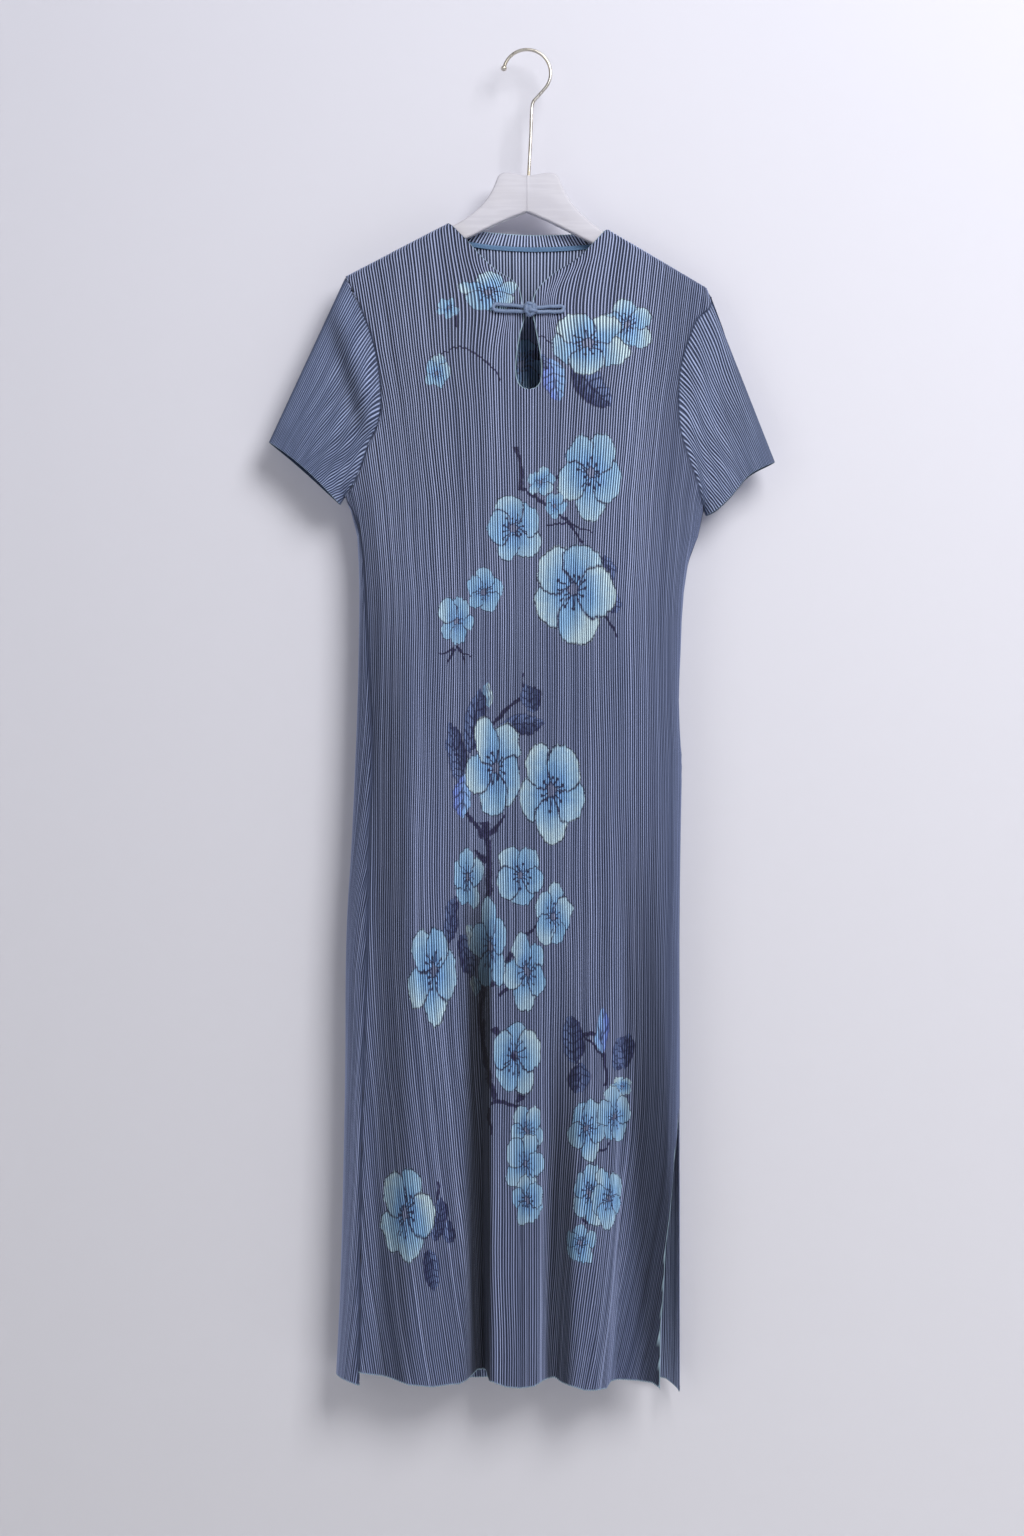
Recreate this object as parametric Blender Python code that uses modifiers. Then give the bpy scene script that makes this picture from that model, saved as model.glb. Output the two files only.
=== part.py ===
"""A pleated cheongsam dress on a wooden hanger, held by the hanger's wire hook.

Metres, +Z up, the front of the dress faces -Y, left and right are as seen from the front.
The origin is the inside of the hook's top, where a rail or a peg carries the whole object.
The tables give millimetres. The cloth is one wall that follows two height fields, the front
layer and the back layer, which meet in a round fold at the shoulders, the sleeves and the sides.
"""

import bmesh
import bpy
import numpy as np
from mathutils import Matrix, Vector

MM = 0.001

# ---------------------------------------------------------------- driving dimensions, in mm
WALL = 2.0  # thickness of the pleated cloth
SEAM_GAP = 0.5  # between neighbouring pieces, measured at the middle of the wall
SHOULDER_HALF = 9.0  # half depth of the dress over the hanger's arms
SHOULDER_ROUND = 9.0  # reach of the round fold on the shoulders and the sleeves' outer edges
SIDE_ROUND = 26.0  # reach of the rolled sides
FRONT_FULLNESS = 15.0  # what the front layer gains in depth from shoulder to chest
BACK_FULLNESS = 9.0
FULL_AT = 170.0  # distance below the shoulder where the fullness is reached
HEM_FULLNESS = 6.0  # further depth gained from chest to hem
CHEST_Z = -400.0
HEM_Z = -1335.0
HANGER_THICK = 11.0
WIRE = 3.4
HOOK_RADIUS = 23.7  # of the wire's centre line
BALL_RADIUS = 3.0
CORD = 3.8  # of the frog
KNOT = 14.4
TAPE_THICK = 1.0
TAPE_HIGH = 4.6

# ---------------------------------------------------------------- outlines seen from the front
# Where the cloth turns from front to back: down each shoulder and the sleeve's outer edge.
# columns: x, z
TOP_FOLD_LEFT = ((-78, -173), (-182, -227), (-259, -393))
TOP_FOLD_RIGHT = ((80, -179), (180, -238), (185, -251), (249, -413))

# Armhole seams, from shoulder point to underarm. columns: x, z
ARMHOLE_LEFT = (
    (-182, -227), (-174, -244), (-166, -261), (-157, -284), (-151, -306), (-147, -334),
    (-146, -356), (-149, -376), (-157, -393), (-164, -413), (-173, -435), (-183, -448),
)
ARMHOLE_RIGHT = (
    (185, -251), (183, -259), (172, -269), (162, -291), (154, -318), (151.5, -352),
    (153, -380), (160, -405), (170, -433), (177, -459),
)

# Cuffs, from the outer corner to the underarm corner. columns: x, z
CUFF_LEFT = ((-259, -393), (-237, -411), (-211, -434), (-187.5, -456))
CUFF_RIGHT = ((249, -413), (224, -431), (202, -453), (188, -463), (180, -467))

# Sides of the body, from underarm to hem. columns: x, z
SIDE_LEFT = (
    (-183, -448), (-178.5, -456), (-173.5, -467), (-169.5, -485), (-168, -512), (-167.5, -550), (-168, -593),
    (-171, -700), (-176, -807), (-179, -852), (-182, -1050), (-187, -1250), (-191, -1335),
)
SIDE_RIGHT = (
    (177, -459), (176, -472), (167, -499), (160, -520), (156.5, -550), (154, -600),
    (152.5, -673), (154.5, -700), (154, -780), (153, -852), (153, -1018), (153, -1346),
)

# The left seam lies on the front, because the back piece wraps forward. columns: x, z
SEAM_LEFT = (
    (-183, -448), (-174, -462), (-166.5, -485), (-163, -512), (-160, -571), (-158, -619),
    (-154, -700), (-157, -780), (-158, -852), (-164, -1050), (-166.5, -1250), (-167, -1335),
)
# The right seam lies on the side and opens below into a slit. columns: x, z
SLIT_TOP_Z = -1078.0
SLIT_EDGE = ((153, -1070), (151, -1080), (145, -1134), (139.5, -1184), (134.5, -1250), (131, -1345))

# Neck slit and keyhole of the front, from the neck point down. columns: x, z
NECK_LEFT = (
    (-78, -173), (-61, -190), (-48, -205), (-28, -224), (-14, -233), (-8, -241), (-5, -254),
    (-3, -268), (-3, -275), (-6, -284), (-8.5, -297), (-10.5, -312), (-11, -326), (-8.5, -336.5),
    (-3.5, -341.5), (2, -343),
)
NECK_RIGHT = (
    (80, -179), (66, -194), (47, -212), (30, -223), (18, -233), (9, -244), (5.5, -254),
    (5.5, -268), (7, -275), (9, -286), (11.5, -299), (13.5, -312), (14, -326), (12.5, -336.5),
    (8, -341.5), (2, -343),
)
CENTRE_X = 2.0

# Seam between the back and its stand, and the stand's upper edge. columns: x, z
STAND_SEAM = (
    (-91, -179.75), (-82, -184.5), (-70, -189.5), (-50, -193.5), (0, -197), (50, -196), (70, -194),
    (84, -190.5), (94, -187.26),
)
STAND_TOP = ((-78, -173), (-64, -176.5), (-40, -179.5), (0, -182), (40, -182), (66, -180.5), (80, -179))

# Hems. columns: x, z
HEM_FRONT = (
    (-167, -1320), (-141, -1324), (-114, -1333), (-91, -1335), (-64, -1331), (-55, -1325),
    (-48, -1321), (-40, -1321), (-37, -1329), (-21, -1335), (-8, -1336), (7, -1333), (14, -1329),
    (25, -1328), (33, -1332), (55, -1337), (77, -1336), (81, -1330), (105, -1330), (120, -1331),
    (131, -1338),
)
HEM_BACK = (
    (-191, -1327), (-170, -1333), (-120, -1336), (-60, -1338), (0, -1336), (60, -1338), (120, -1336),
    (140, -1338), (153, -1346),
)

# Largest folds. A positive depth is a trough, a negative one a ridge, at its full depth at the hem.
# columns: x at the hem, x at its upper end, z of its upper end, width to the left, width to the right, depth
FRONT_FOLDS = (
    (-62, -60, -800, 16, 10, -4.0),
    (-43, -48, -780, 24, 8, 19.0),
    (8, 4, -950, 20, 12, -5.0),
    (27, 22, -1000, 18, 20, 13.0),
    (66, 72, -780, 24, 15, -7.0),
    (90, 108, -640, 13, 50, 11.0),
    (-140, -134, -640, 14, 18, 4.0),
)
BACK_FOLDS = (
    (-120, -110, -760, 26, 20, -8.0),
    (-78, -80, -700, 20, 20, 4.0),
    (-15, -8, -820, 22, 30, -9.0),
    (48, 40, -700, 22, 18, 4.0),
    (100, 95, -900, 26, 20, -7.0),
)


# ---------------------------------------------------------------- curves and surfaces
def table(rows):
    return np.array(rows, dtype=float)


def smooth(value):
    """0 below 0, 1 above 1 and an even slope between."""
    t = np.clip(value, 0.0, 1.0)
    return t * t * (3.0 - 2.0 * t)


def through(rows, share):
    """Points on a smooth curve through the rows of a table, at shares 0 to 1 of its length."""
    points = table(rows)
    steps = np.hypot(*np.diff(points, axis=0).T)
    length = np.concatenate(([0.0], np.cumsum(steps)))
    at = np.asarray(share) * length[-1]
    slopes = np.gradient(points, length, axis=0)
    i = np.clip(np.searchsorted(length, at, side="right") - 1, 0, len(steps) - 1)
    h = steps[i]
    t = ((at - length[i]) / h)[..., None]
    h = h[..., None]
    return (
        points[i] * (1 + 2 * t) * (1 - t) ** 2
        + points[i + 1] * t * t * (3 - 2 * t)
        + slopes[i] * h * t * (1 - t) ** 2
        + slopes[i + 1] * h * t * t * (t - 1)
    )


def line_of(rows):
    """A smooth outline as a fine chain of points."""
    return through(rows, np.linspace(0, 1, 120))


def x_at(rows, z):
    """The x of an outline at a height."""
    line = line_of(rows)
    return np.interp(-np.asarray(z, dtype=float), -line[:, 1], line[:, 0])


def z_at(rows, x):
    """The height of a hem or a neckline at an x."""
    line = table(rows)
    return np.interp(x, line[:, 0], line[:, 1])


def distance(line, x, z):
    """Shortest distance in the front view from points to a chain of points."""
    nearest = np.full(np.shape(x), np.inf)
    for a, b in zip(line[:-1], line[1:]):
        along = b - a
        share = np.clip(((x - a[0]) * along[0] + (z - a[1]) * along[1]) / (along @ along), 0, 1)
        nearest = np.minimum(nearest, np.hypot(x - a[0] - share * along[0], z - a[1] - share * along[1]))
    return nearest


def rounded(reach, away):
    """A quarter circle: 0 on the fold, 1 past its reach."""
    return np.sqrt(1.0 - (1.0 - np.clip(away / reach, 0.0, 1.0)) ** 2)


def folded(folds, x, z):
    """Sum of the folds: each fades in down its length and is a smooth hump across it."""
    total = np.zeros(np.shape(x))
    for hem_x, top_x, top_z, left, right, depth in folds:
        down = np.clip((top_z - z) / (top_z - HEM_Z), 0.0, 1.2)
        middle = top_x + (hem_x - top_x) * down
        width = np.where(x < middle, left, right)
        total = total + depth * down**1.3 * smooth(1.0 - np.abs(x - middle) / width)
    return total


# The lines where the layers meet on each side: down the shoulder and the sleeve's outer edge, and from
# the cuff's inner corner up to the underarm and down the side.
BELOW_HEM = 60.0  # the side folds run on past the hem
TOP_FOLDS = (table(TOP_FOLD_LEFT), table(TOP_FOLD_RIGHT))
SIDE_FOLDS = tuple(
    np.concatenate([table(cuff[-1:]), line_of(side), table(side[-1:]) - (0, BELOW_HEM)])
    for cuff, side in ((CUFF_LEFT, SIDE_LEFT), (CUFF_RIGHT, SIDE_RIGHT))
)


def layer_depth(x, z, fullness):
    """The depth of a layer away from its folds, and how far it has risen from them, 0 to 1."""
    top = np.minimum(*(distance(line, x, z) for line in TOP_FOLDS))
    side = np.minimum(*(distance(line, x, z) for line in SIDE_FOLDS))
    full = SHOULDER_HALF + fullness * smooth(top / FULL_AT)
    full = full + HEM_FULLNESS * smooth((CHEST_Z - z) / (CHEST_Z - HEM_Z))
    return full, rounded(SHOULDER_ROUND, top) * rounded(SIDE_ROUND, side)


def front_y(x, z):
    """Depth of the front layer's middle: full at the centre, 0 on every fold line."""
    full, edge = layer_depth(x, z, FRONT_FULLNESS)
    return -(full - folded(FRONT_FOLDS, x, z)) * edge


def back_y(x, z):
    full, edge = layer_depth(x, z, BACK_FULLNESS)
    return (full - folded(BACK_FOLDS, x, z)) * edge


def eased(count):
    """Shares 0 to 1 that crowd at both ends."""
    return (1.0 - np.cos(np.pi * np.linspace(0, 1, count))) / 2.0


# ---------------------------------------------------------------- scene, materials, meshes
for old in list(bpy.data.objects):
    bpy.data.objects.remove(old, do_unlink=True)

dress = bpy.data.collections.new("cheongsam_dress")
cutters = bpy.data.collections.new("cutters")
bpy.context.scene.collection.children.link(dress)
bpy.context.scene.collection.children.link(cutters)
cutters.hide_render = True


def material(name, colour, roughness, metallic=0.0):
    made = bpy.data.materials.new(name)
    made.use_nodes = True
    shader = made.node_tree.nodes["Principled BSDF"]
    shader.inputs["Base Color"].default_value = (*colour, 1.0)
    shader.inputs["Roughness"].default_value = roughness
    shader.inputs["Metallic"].default_value = metallic
    return made


SLATE = material("pleated_slate", (0.12, 0.15, 0.26), 0.6)
SLATE_LIGHT = material("pleated_slate_sleeve", (0.15, 0.21, 0.34), 0.6)
TAPE_BLUE = material("tape_blue", (0.13, 0.22, 0.38), 0.5)
CORD_BLUE = material("cord_blue", (0.12, 0.18, 0.30), 0.55)
WOOD = material("white_wood", (0.72, 0.73, 0.74), 0.4)
STEEL = material("satin_steel", (0.62, 0.58, 0.52), 0.3, 1.0)


def put(name, mesh, finish, collection=dress):
    mesh.materials.append(finish)
    made = bpy.data.objects.new(name, mesh)
    collection.objects.link(made)
    return made


def sheet_mesh(name, points, quads):
    mesh = bpy.data.meshes.new(name)
    mesh.from_pydata([tuple(p) for p in np.asarray(points) * MM], [], quads)
    shape = bmesh.new()
    shape.from_mesh(mesh)
    bmesh.ops.remove_doubles(shape, verts=shape.verts, dist=1e-6)
    shape.to_mesh(mesh)
    shape.free()
    mesh.shade_smooth()
    return mesh


def grid_quads(rows, columns, first=0, closed=False):
    """Quads of a grid numbered row by row. A closed one joins its last column to its first."""
    quads = []
    for r in range(rows - 1):
        for c in range(columns if closed else columns - 1):
            d = (c + 1) % columns
            a = first + r * columns
            b = a + columns
            quads.append((a + c, a + d, b + d, b + c))
    return quads


def wall(made, thickness=WALL):
    """Gives an open surface its thickness, half to each side."""
    solid = made.modifiers.new("wall", "SOLIDIFY")
    solid.thickness = thickness * MM
    solid.offset = 0.0
    solid.use_even_offset = False
    return made


# ---------------------------------------------------------------- front
# Rows of the front, from the neck points to above the hem. Every row runs from the outer edge of its
# side to the neck slit or the keyhole and, below that, to the middle.
# columns: z at the left edge, left of the slit, right of the slit, at the right edge
FRONT_ROWS = (
    (-174.5, -174.5, -180.5, -180.5), (-177.5, -178, -184, -184), (-183, -184, -189, -190),
    (-191, -192, -196, -199), (-200, -201, -204, -209), (-209, -211, -213, -220),
    (-218, -220, -221, -230), (-227, -229, -230, -238), (-228.2, -236, -236, -251),
    (-231.5, -243, -243, -252.2), (-238, -249, -249, -255), (-249, -255, -255, -260),
    (-262, -263, -263, -268), (-276, -272, -272, -279), (-290, -281, -281, -292),
    (-304, -291, -291, -307), (-318, -303, -303, -322), (-331, -316, -316, -337),
    (-342, -328, -328, -350), (-351, -336.5, -336.5, -361), (-358, -341.5, -341.5, -369),
    (-365, -343, -343, -377), (-378, -362, -362, -391), (-393, -382, -382, -406),
    (-410, -402, -402, -421), (-425, -420, -420, -436), (-438, -436, -436, -449),
    (-444, -443.5, -443.5, -455), (-447, -447, -447, -458),
    (-448, -450, -450, -459), (-462, -463, -463, -472), (-480, -480, -480, -486),
    (-510, -510, -510, -512), (-550, -550, -550, -550),
)
KEYHOLE_END = 21  # the row that closes the keyhole
UNDERARM_ROW = 29
SHOULDER_LEFT_ROW, SHOULDER_RIGHT_ROW = 7, 8
LONG_ROWS = (-615, -700, -780, -870, -970, -1078, -1170, -1260, HEM_Z)
FRONT_COLUMNS = 11
EDGE_STEP = 1.2  # the first column stays this close to the seam, so that the walls meet square
FINE = 160  # points along a row before its columns are placed
CROWD_TOP, CROWD_HEM = 1.6, 1.1  # how strongly the columns crowd towards the seam, above and below
CROWD_FROM, CROWD_OVER = -500.0, 700.0  # where the crowding starts to ease, and over what height


def outer_edge(side, z):
    """The outer edge of the front at a height: shoulder, armhole, then the seam or the slit."""
    fold, armhole = (TOP_FOLD_LEFT, ARMHOLE_LEFT) if side == "left" else (TOP_FOLD_RIGHT, ARMHOLE_RIGHT)
    if z >= armhole[0][1]:
        line = table(fold)
        return np.interp(-z, -line[:, 1], line[:, 0])
    if z >= armhole[-1][1]:
        return x_at(armhole, z)
    if side == "left":
        return x_at(SEAM_LEFT, z)
    return x_at(SIDE_RIGHT, z) if z > SLIT_TOP_Z else x_at(SLIT_EDGE, z)


def front_half(side):
    neck = NECK_LEFT if side == "left" else NECK_RIGHT
    ends = [(row[0], row[1]) if side == "left" else (row[3], row[2]) for row in FRONT_ROWS]
    ends += [(z, z) for z in LONG_ROWS]
    rows = []
    for number, (outer_z, inner_z) in enumerate(ends):
        outer_x = outer_edge(side, outer_z)
        inner_x = x_at(neck, inner_z) if number < KEYHOLE_END else CENTRE_X
        share = eased(FINE)
        x = outer_x + (inner_x - outer_x) * share
        z = z_at(HEM_FRONT, x) if outer_z == HEM_Z else outer_z + (inner_z - outer_z) * share
        points = np.stack([x, front_y(x, z), z], axis=1)
        steps = np.linalg.norm(np.diff(points, axis=0), axis=1)
        length = np.concatenate(([0.0], np.cumsum(steps)))
        crowded = CROWD_TOP + (CROWD_HEM - CROWD_TOP) * smooth((CROWD_FROM - outer_z) / CROWD_OVER)
        at = SEAM_GAP / 2 + (length[-1] - SEAM_GAP / 2) * np.linspace(0, 1, FRONT_COLUMNS) ** crowded
        at[1] = min(at[1], EDGE_STEP)
        rows.append(np.stack([np.interp(at, length, points[:, k]) for k in range(3)], axis=1))
    return np.array(rows)


def front_piece(name, first, last, sides):
    """A stretch of the front's rows on one side or on both. The cloth is one piece, cut into
    simpler solids here so that collision keeps the neck, the keyhole and the inside open."""
    points = np.zeros((0, 3))
    quads = []
    for side in sides:
        part = halves[side][first:last].copy()
        if first:
            part[0, :, 2] -= SEAM_GAP
        faces = grid_quads(len(part), FRONT_COLUMNS, len(points))
        quads += faces if side == "left" else [face[::-1] for face in faces]
        points = np.concatenate([points, part.reshape(-1, 3)])
    wall(put(name, sheet_mesh(name, points, quads), SLATE))


halves = {side: front_half(side) for side in ("left", "right")}
ABOVE_KEYHOLE_END = KEYHOLE_END - 1
WAIST_ROW = len(FRONT_ROWS) - 1
front_piece("front_left", 0, ABOVE_KEYHOLE_END + 1, ["left"])
front_piece("front_right", 0, ABOVE_KEYHOLE_END + 1, ["right"])
front_piece("front_chest", ABOVE_KEYHOLE_END, WAIST_ROW + 1, ["left", "right"])
front_piece("front_skirt", WAIST_ROW, None, ["left", "right"])

# ---------------------------------------------------------------- back
BACK_DROPS = (0, 0.1, 1.2, 4, 9, 22, 44, 72)  # rows that start parallel to the shoulders
BACK_LEVEL = -205.0  # the rows level out around this height
LEVEL_AFTER = 120.0
SETTLE_FROM, SETTLE_OVER = 30.0, 120.0  # drop at which the columns leave their places on the upper edge
SETTLE_MORE_Z, SETTLE_MORE_OVER = -300.0, 150.0  # height from which they reach those along the hem
# The rows below them: z at the left edge and at the right edge. From the underarm down, the back's
# rows lie at the front's heights.
BACK_ROWS = ((-312, -318), (-346, -352), (-378, -384), (-408, -416), (-432, -442), (-443, -454), (-447, -458))
BACK_ROWS += tuple((row[0], row[3]) for row in FRONT_ROWS[UNDERARM_ROW:])
BACK_ROWS += tuple((z, z) for z in LONG_ROWS[:-1])
# Columns: their x on the upper edge, where the stand takes those between its ends, and their places
# in mm along the hem, from the seam on the front round the left side to the right side.
# columns: x on top, distance along the hem
BACK_COLUMNS = (
    (-182, 0), (-177, 1.2), (-166, 5), (-150, 10), (-130, 15), (-110, 20.5), (-91, 27), (-90.6, 36),
    (-88.5, 50), (-83, 70), (-70, 92), (-50, 114), (-25, 136), (2, 158), (28, 180), (52, 202),
    (73, 224), (86, 246), (92, 268), (93.7, 288), (94, 306), (112, 321), (130, 334), (148, 344),
    (166, 352), (180, 356.8), (185, 358),
)
STAND_FIRST, STAND_LAST = 6, 20  # the columns at the stand's ends
STRIP_FINE = 60  # points across the strip that wraps forward
BACK_LEFT_X = TOP_FOLD_LEFT[1][0]
BACK_WIDE = ARMHOLE_RIGHT[0][0] - BACK_LEFT_X  # from shoulder point to shoulder point


def back_top(x):
    """The back's upper edge: shoulder, stand seam, shoulder."""
    edge = table(TOP_FOLD_LEFT[1:2] + STAND_SEAM + TOP_FOLD_RIGHT[1:3])
    return np.interp(x, edge[:, 0], edge[:, 1])


def back_row(heights, level, hem=False):
    """One row of the back. heights gives z from the x on the upper edge, and level says how far the
    columns have gone from their places on the upper edge to those along the hem."""
    top_x, hem_at = table(BACK_COLUMNS).T
    shares = np.sort(np.concatenate([eased(FINE), (top_x - BACK_LEFT_X) / BACK_WIDE]))
    top = BACK_LEFT_X + BACK_WIDE * shares
    z = heights(top)
    left = x_at(ARMHOLE_LEFT if z[0] >= ARMHOLE_LEFT[-1][1] else SIDE_LEFT, z[0])
    right = x_at(ARMHOLE_RIGHT if z[-1] >= ARMHOLE_RIGHT[-1][1] else SIDE_RIGHT, z[-1])
    x = left + (right - left) * shares
    strip = np.zeros((0, 3))
    if z[0] < ARMHOLE_LEFT[-1][1] - 1:
        strip_x = left + (x_at(SEAM_LEFT, z[0]) - left) * eased(STRIP_FINE)[:0:-1]
        strip_z = z_at(HEM_BACK, strip_x) if hem else np.full(strip_x.shape, z[0])
        strip = np.stack([strip_x, front_y(strip_x, strip_z), strip_z], axis=1)
    if hem:
        z = z_at(HEM_BACK, x)
    y = np.maximum(back_y(x, z), 0.0)
    points = np.concatenate([strip, np.stack([x, y, z], axis=1)])
    steps = np.linalg.norm(np.diff(points, axis=0), axis=1)
    length = np.concatenate(([0.0], np.cumsum(steps)))
    by_top = np.interp(top_x, top, length[len(strip):])
    by_hem = SEAM_GAP / 2 + (length[-1] - SEAM_GAP) * hem_at / hem_at[-1]
    at = by_top + (by_hem - by_top) * level
    at[0] = SEAM_GAP / 2
    at[-1] = length[-1] - SEAM_GAP / 2
    return np.stack([np.interp(at, length, points[:, k]) for k in range(3)], axis=1)


back_rows = []
for drop in BACK_DROPS:
    level = smooth(drop / LEVEL_AFTER)
    settled = 0.5 * smooth((drop - SETTLE_FROM) / SETTLE_OVER)
    back_rows.append(back_row(lambda x: back_top(x) * (1 - level) + BACK_LEVEL * level - drop, settled))
for left_z, right_z in BACK_ROWS:
    settled = 0.5 + 0.5 * smooth((SETTLE_MORE_Z - left_z) / SETTLE_MORE_OVER)
    slope = (right_z - left_z) / BACK_WIDE
    back_rows.append(back_row(lambda x: left_z + slope * (x - BACK_LEFT_X), settled))
back_rows.append(back_row(lambda x: np.full(x.shape, HEM_Z), 1.0, hem=True))
back_rows = np.array(back_rows)
back_rows[0, :, 1] = np.maximum(back_rows[0, :, 1], SEAM_GAP / 2)
quads = [face[::-1] for face in grid_quads(len(back_rows), len(BACK_COLUMNS))]
wall(put("back_panel", sheet_mesh("back_panel", back_rows.reshape(-1, 3), quads), SLATE))

# ---------------------------------------------------------------- stand and tape at the back neck
STAND_ROWS = (0.0, 0.35, 0.7, 1.0)
STAND_GAP = 0.8
low = back_rows[0, STAND_FIRST : STAND_LAST + 1]
along = (low[:, 0] - low[0, 0]) / (low[-1, 0] - low[0, 0])
high = through(STAND_TOP, along)
stand = []
for up in STAND_ROWS:
    x = low[:, 0] + (high[:, 0] - low[:, 0]) * up
    z = low[:, 2] + (high[:, 1] - low[:, 2]) * up + STAND_GAP * (1 - up)
    y = low[:, 1] if up == 0 else np.maximum(back_y(x, z), SEAM_GAP / 2)
    stand.append(np.stack([x, y, z], axis=1))
stand = np.array(stand)
quads = grid_quads(len(STAND_ROWS), len(low))
wall(put("back_stand", sheet_mesh("back_stand", stand.reshape(-1, 3), quads), SLATE))

TAPE_SHARES = (0.09, 0.91)  # of the stand seam that the tape covers
TAPE_POINTS = 21
share = np.linspace(*TAPE_SHARES, TAPE_POINTS)
middle = through(STAND_SEAM, share)
tape = []
for up in (-0.5, 0.5):
    height = middle[:, 1] + up * TAPE_HIGH
    depth = back_y(middle[:, 0], middle[:, 1]) - WALL / 2 - SEAM_GAP - TAPE_THICK / 2
    tape.append(np.stack([middle[:, 0], depth, height], axis=1))
tape = np.array(tape)
quads = grid_quads(2, len(share))
wall(put("neck_tape", sheet_mesh("neck_tape", tape.reshape(-1, 3), quads), TAPE_BLUE), TAPE_THICK)

# ---------------------------------------------------------------- sleeves
SLEEVE_RINGS = 6
ARMHOLE_GAP = 1.0  # from the seam line to the sleeve's first ring
UNDERARM_GAP = 2.4  # more at the underarm, where the walls of three pieces meet on a tight fold
UNDERARM_FROM, UNDERARM_OVER = 0.88, 0.1  # shares of the armhole over which that grows
ALONG_STEP = 0.005  # share of an armhole over which its direction is taken


def share_at(rows, z):
    """How far along an armhole a height lies, as a share of its length."""
    share = np.linspace(0, 1, 600)
    return np.interp(-np.asarray(z), -through(rows, share)[:, 1], share)


def sleeve(name, armhole, cuff, faces_right, front_z, back_z):
    """A tube from armhole to cuff. Each ring runs down the front layer and up the back layer, and the
    first has a point at each row of the panels that it is sewn to."""
    down = share_at(armhole, front_z)
    up = share_at(armhole, back_z)[::-1]
    rings = []
    for out in np.linspace(0, 1, SLEEVE_RINGS):
        halves = []
        for share, depth in ((down, front_y), (up, back_y)):
            seam, edge = through(armhole, share), through(cuff, share)
            along = through(armhole, share + ALONG_STEP) - through(armhole, share - ALONG_STEP)
            away = along[:, ::-1] / np.linalg.norm(along, axis=1, keepdims=True) * (1, -1)
            onward = (edge - seam) / np.linalg.norm(edge - seam, axis=1, keepdims=True)
            start = seam + ARMHOLE_GAP * away * (-1 if faces_right else 1)
            start += UNDERARM_GAP * onward * smooth((share[:, None] - UNDERARM_FROM) / UNDERARM_OVER)
            x, z = (start + (edge - start) * out).T
            y = depth(x, z)
            y[[0, -1]] = 0.0
            halves.append(np.stack([x, y, z], axis=1)[:-1])
        rings.append(np.concatenate(halves))
    rings = np.array(rings)
    quads = grid_quads(SLEEVE_RINGS, rings.shape[1], closed=True)
    if faces_right:
        quads = [face[::-1] for face in quads]
    return wall(put(name, sheet_mesh(name, rings.reshape(-1, 3), quads), SLATE_LIGHT))


ARMHOLE_ROWS = len(BACK_DROPS) + 8  # rows of the back that end on the armholes
armhole_back = back_rows[:ARMHOLE_ROWS]
for name, armhole, cuff, faces_right, column, first in (
    ("sleeve_left", ARMHOLE_LEFT, CUFF_LEFT, False, 0, SHOULDER_LEFT_ROW),
    ("sleeve_right", ARMHOLE_RIGHT, CUFF_RIGHT, True, 3, SHOULDER_RIGHT_ROW),
):
    front_z = [row[column] for row in FRONT_ROWS[first : UNDERARM_ROW + 1]]
    back_z = armhole_back[:, -1 if faces_right else 0, 2]
    back_z[[0, -1]] = armhole[0][1], armhole[-1][1]
    sleeve(name, armhole, cuff, faces_right, front_z, back_z)


# ---------------------------------------------------------------- frog fastening
def cord(name, points, thick, finish, sides=3):
    """A round cord or wire along a chain of points, with flat ends."""
    line = bpy.data.curves.new(name, "CURVE")
    line.dimensions = "3D"
    line.bevel_depth = thick / 2 * MM
    line.bevel_resolution = sides
    line.use_fill_caps = True
    spline = line.splines.new("POLY")
    spline.points.add(len(points) - 1)
    for point, place in zip(spline.points, points):
        point.co = (*(np.array(place) * MM), 1.0)
    line.materials.append(finish)
    made = bpy.data.objects.new(name, line)
    dress.objects.link(made)
    return made


def strip_of(name, knot_x, end_x, knot_z, end_z, apart):
    """A frog strip is one cord laid double: out from the knot, square round its end and back."""
    above = np.linspace(0, 1, 6)
    x = knot_x + (end_x - knot_x) * above
    z = knot_z + (end_z - knot_z) * above
    x = np.concatenate([x, x[::-1]])
    z = np.concatenate([z + apart / 2, (z - apart / 2)[::-1]])
    y = front_y(x, z) - WALL / 2 - SEAM_GAP - CORD / 2
    return cord(name, np.stack([x, y - STRIP_LIFT, z], axis=1), CORD, CORD_BLUE)


KNOT_X, KNOT_Z = 3.0, -263.5
KNOT_OUT = 7.0  # from the front layer to the middle of the knot
KNOT_FLAT, KNOT_TALL = 0.8, 1.03
STRIP_LIFT = 0.3
STRIP_FROM = KNOT / 2 + 1.5  # where the strips start beside the knot
strip_of("frog_strip_left", KNOT_X - STRIP_FROM, -35.5, -263.2, -260.8, 6.4)
strip_of("frog_strip_right", KNOT_X + STRIP_FROM, 38.2, -263.6, -262.2, 5.4)

shape = bmesh.new()
bmesh.ops.create_uvsphere(shape, u_segments=20, v_segments=12, radius=KNOT / 2 * MM)
knot_y = float(front_y(np.array([KNOT_X]), np.array([KNOT_Z]))[0]) - KNOT_OUT
knot_place = Matrix.Translation(Vector((KNOT_X, knot_y, KNOT_Z)) * MM)
knot_shape = Matrix.Diagonal((1.0, KNOT_FLAT, KNOT_TALL, 1.0))
bmesh.ops.transform(shape, matrix=knot_place @ knot_shape, verts=shape.verts)
mesh = bpy.data.meshes.new("frog_knot")
shape.to_mesh(mesh)
shape.free()
mesh.shade_smooth()
put("frog_knot", mesh, CORD_BLUE)

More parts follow.
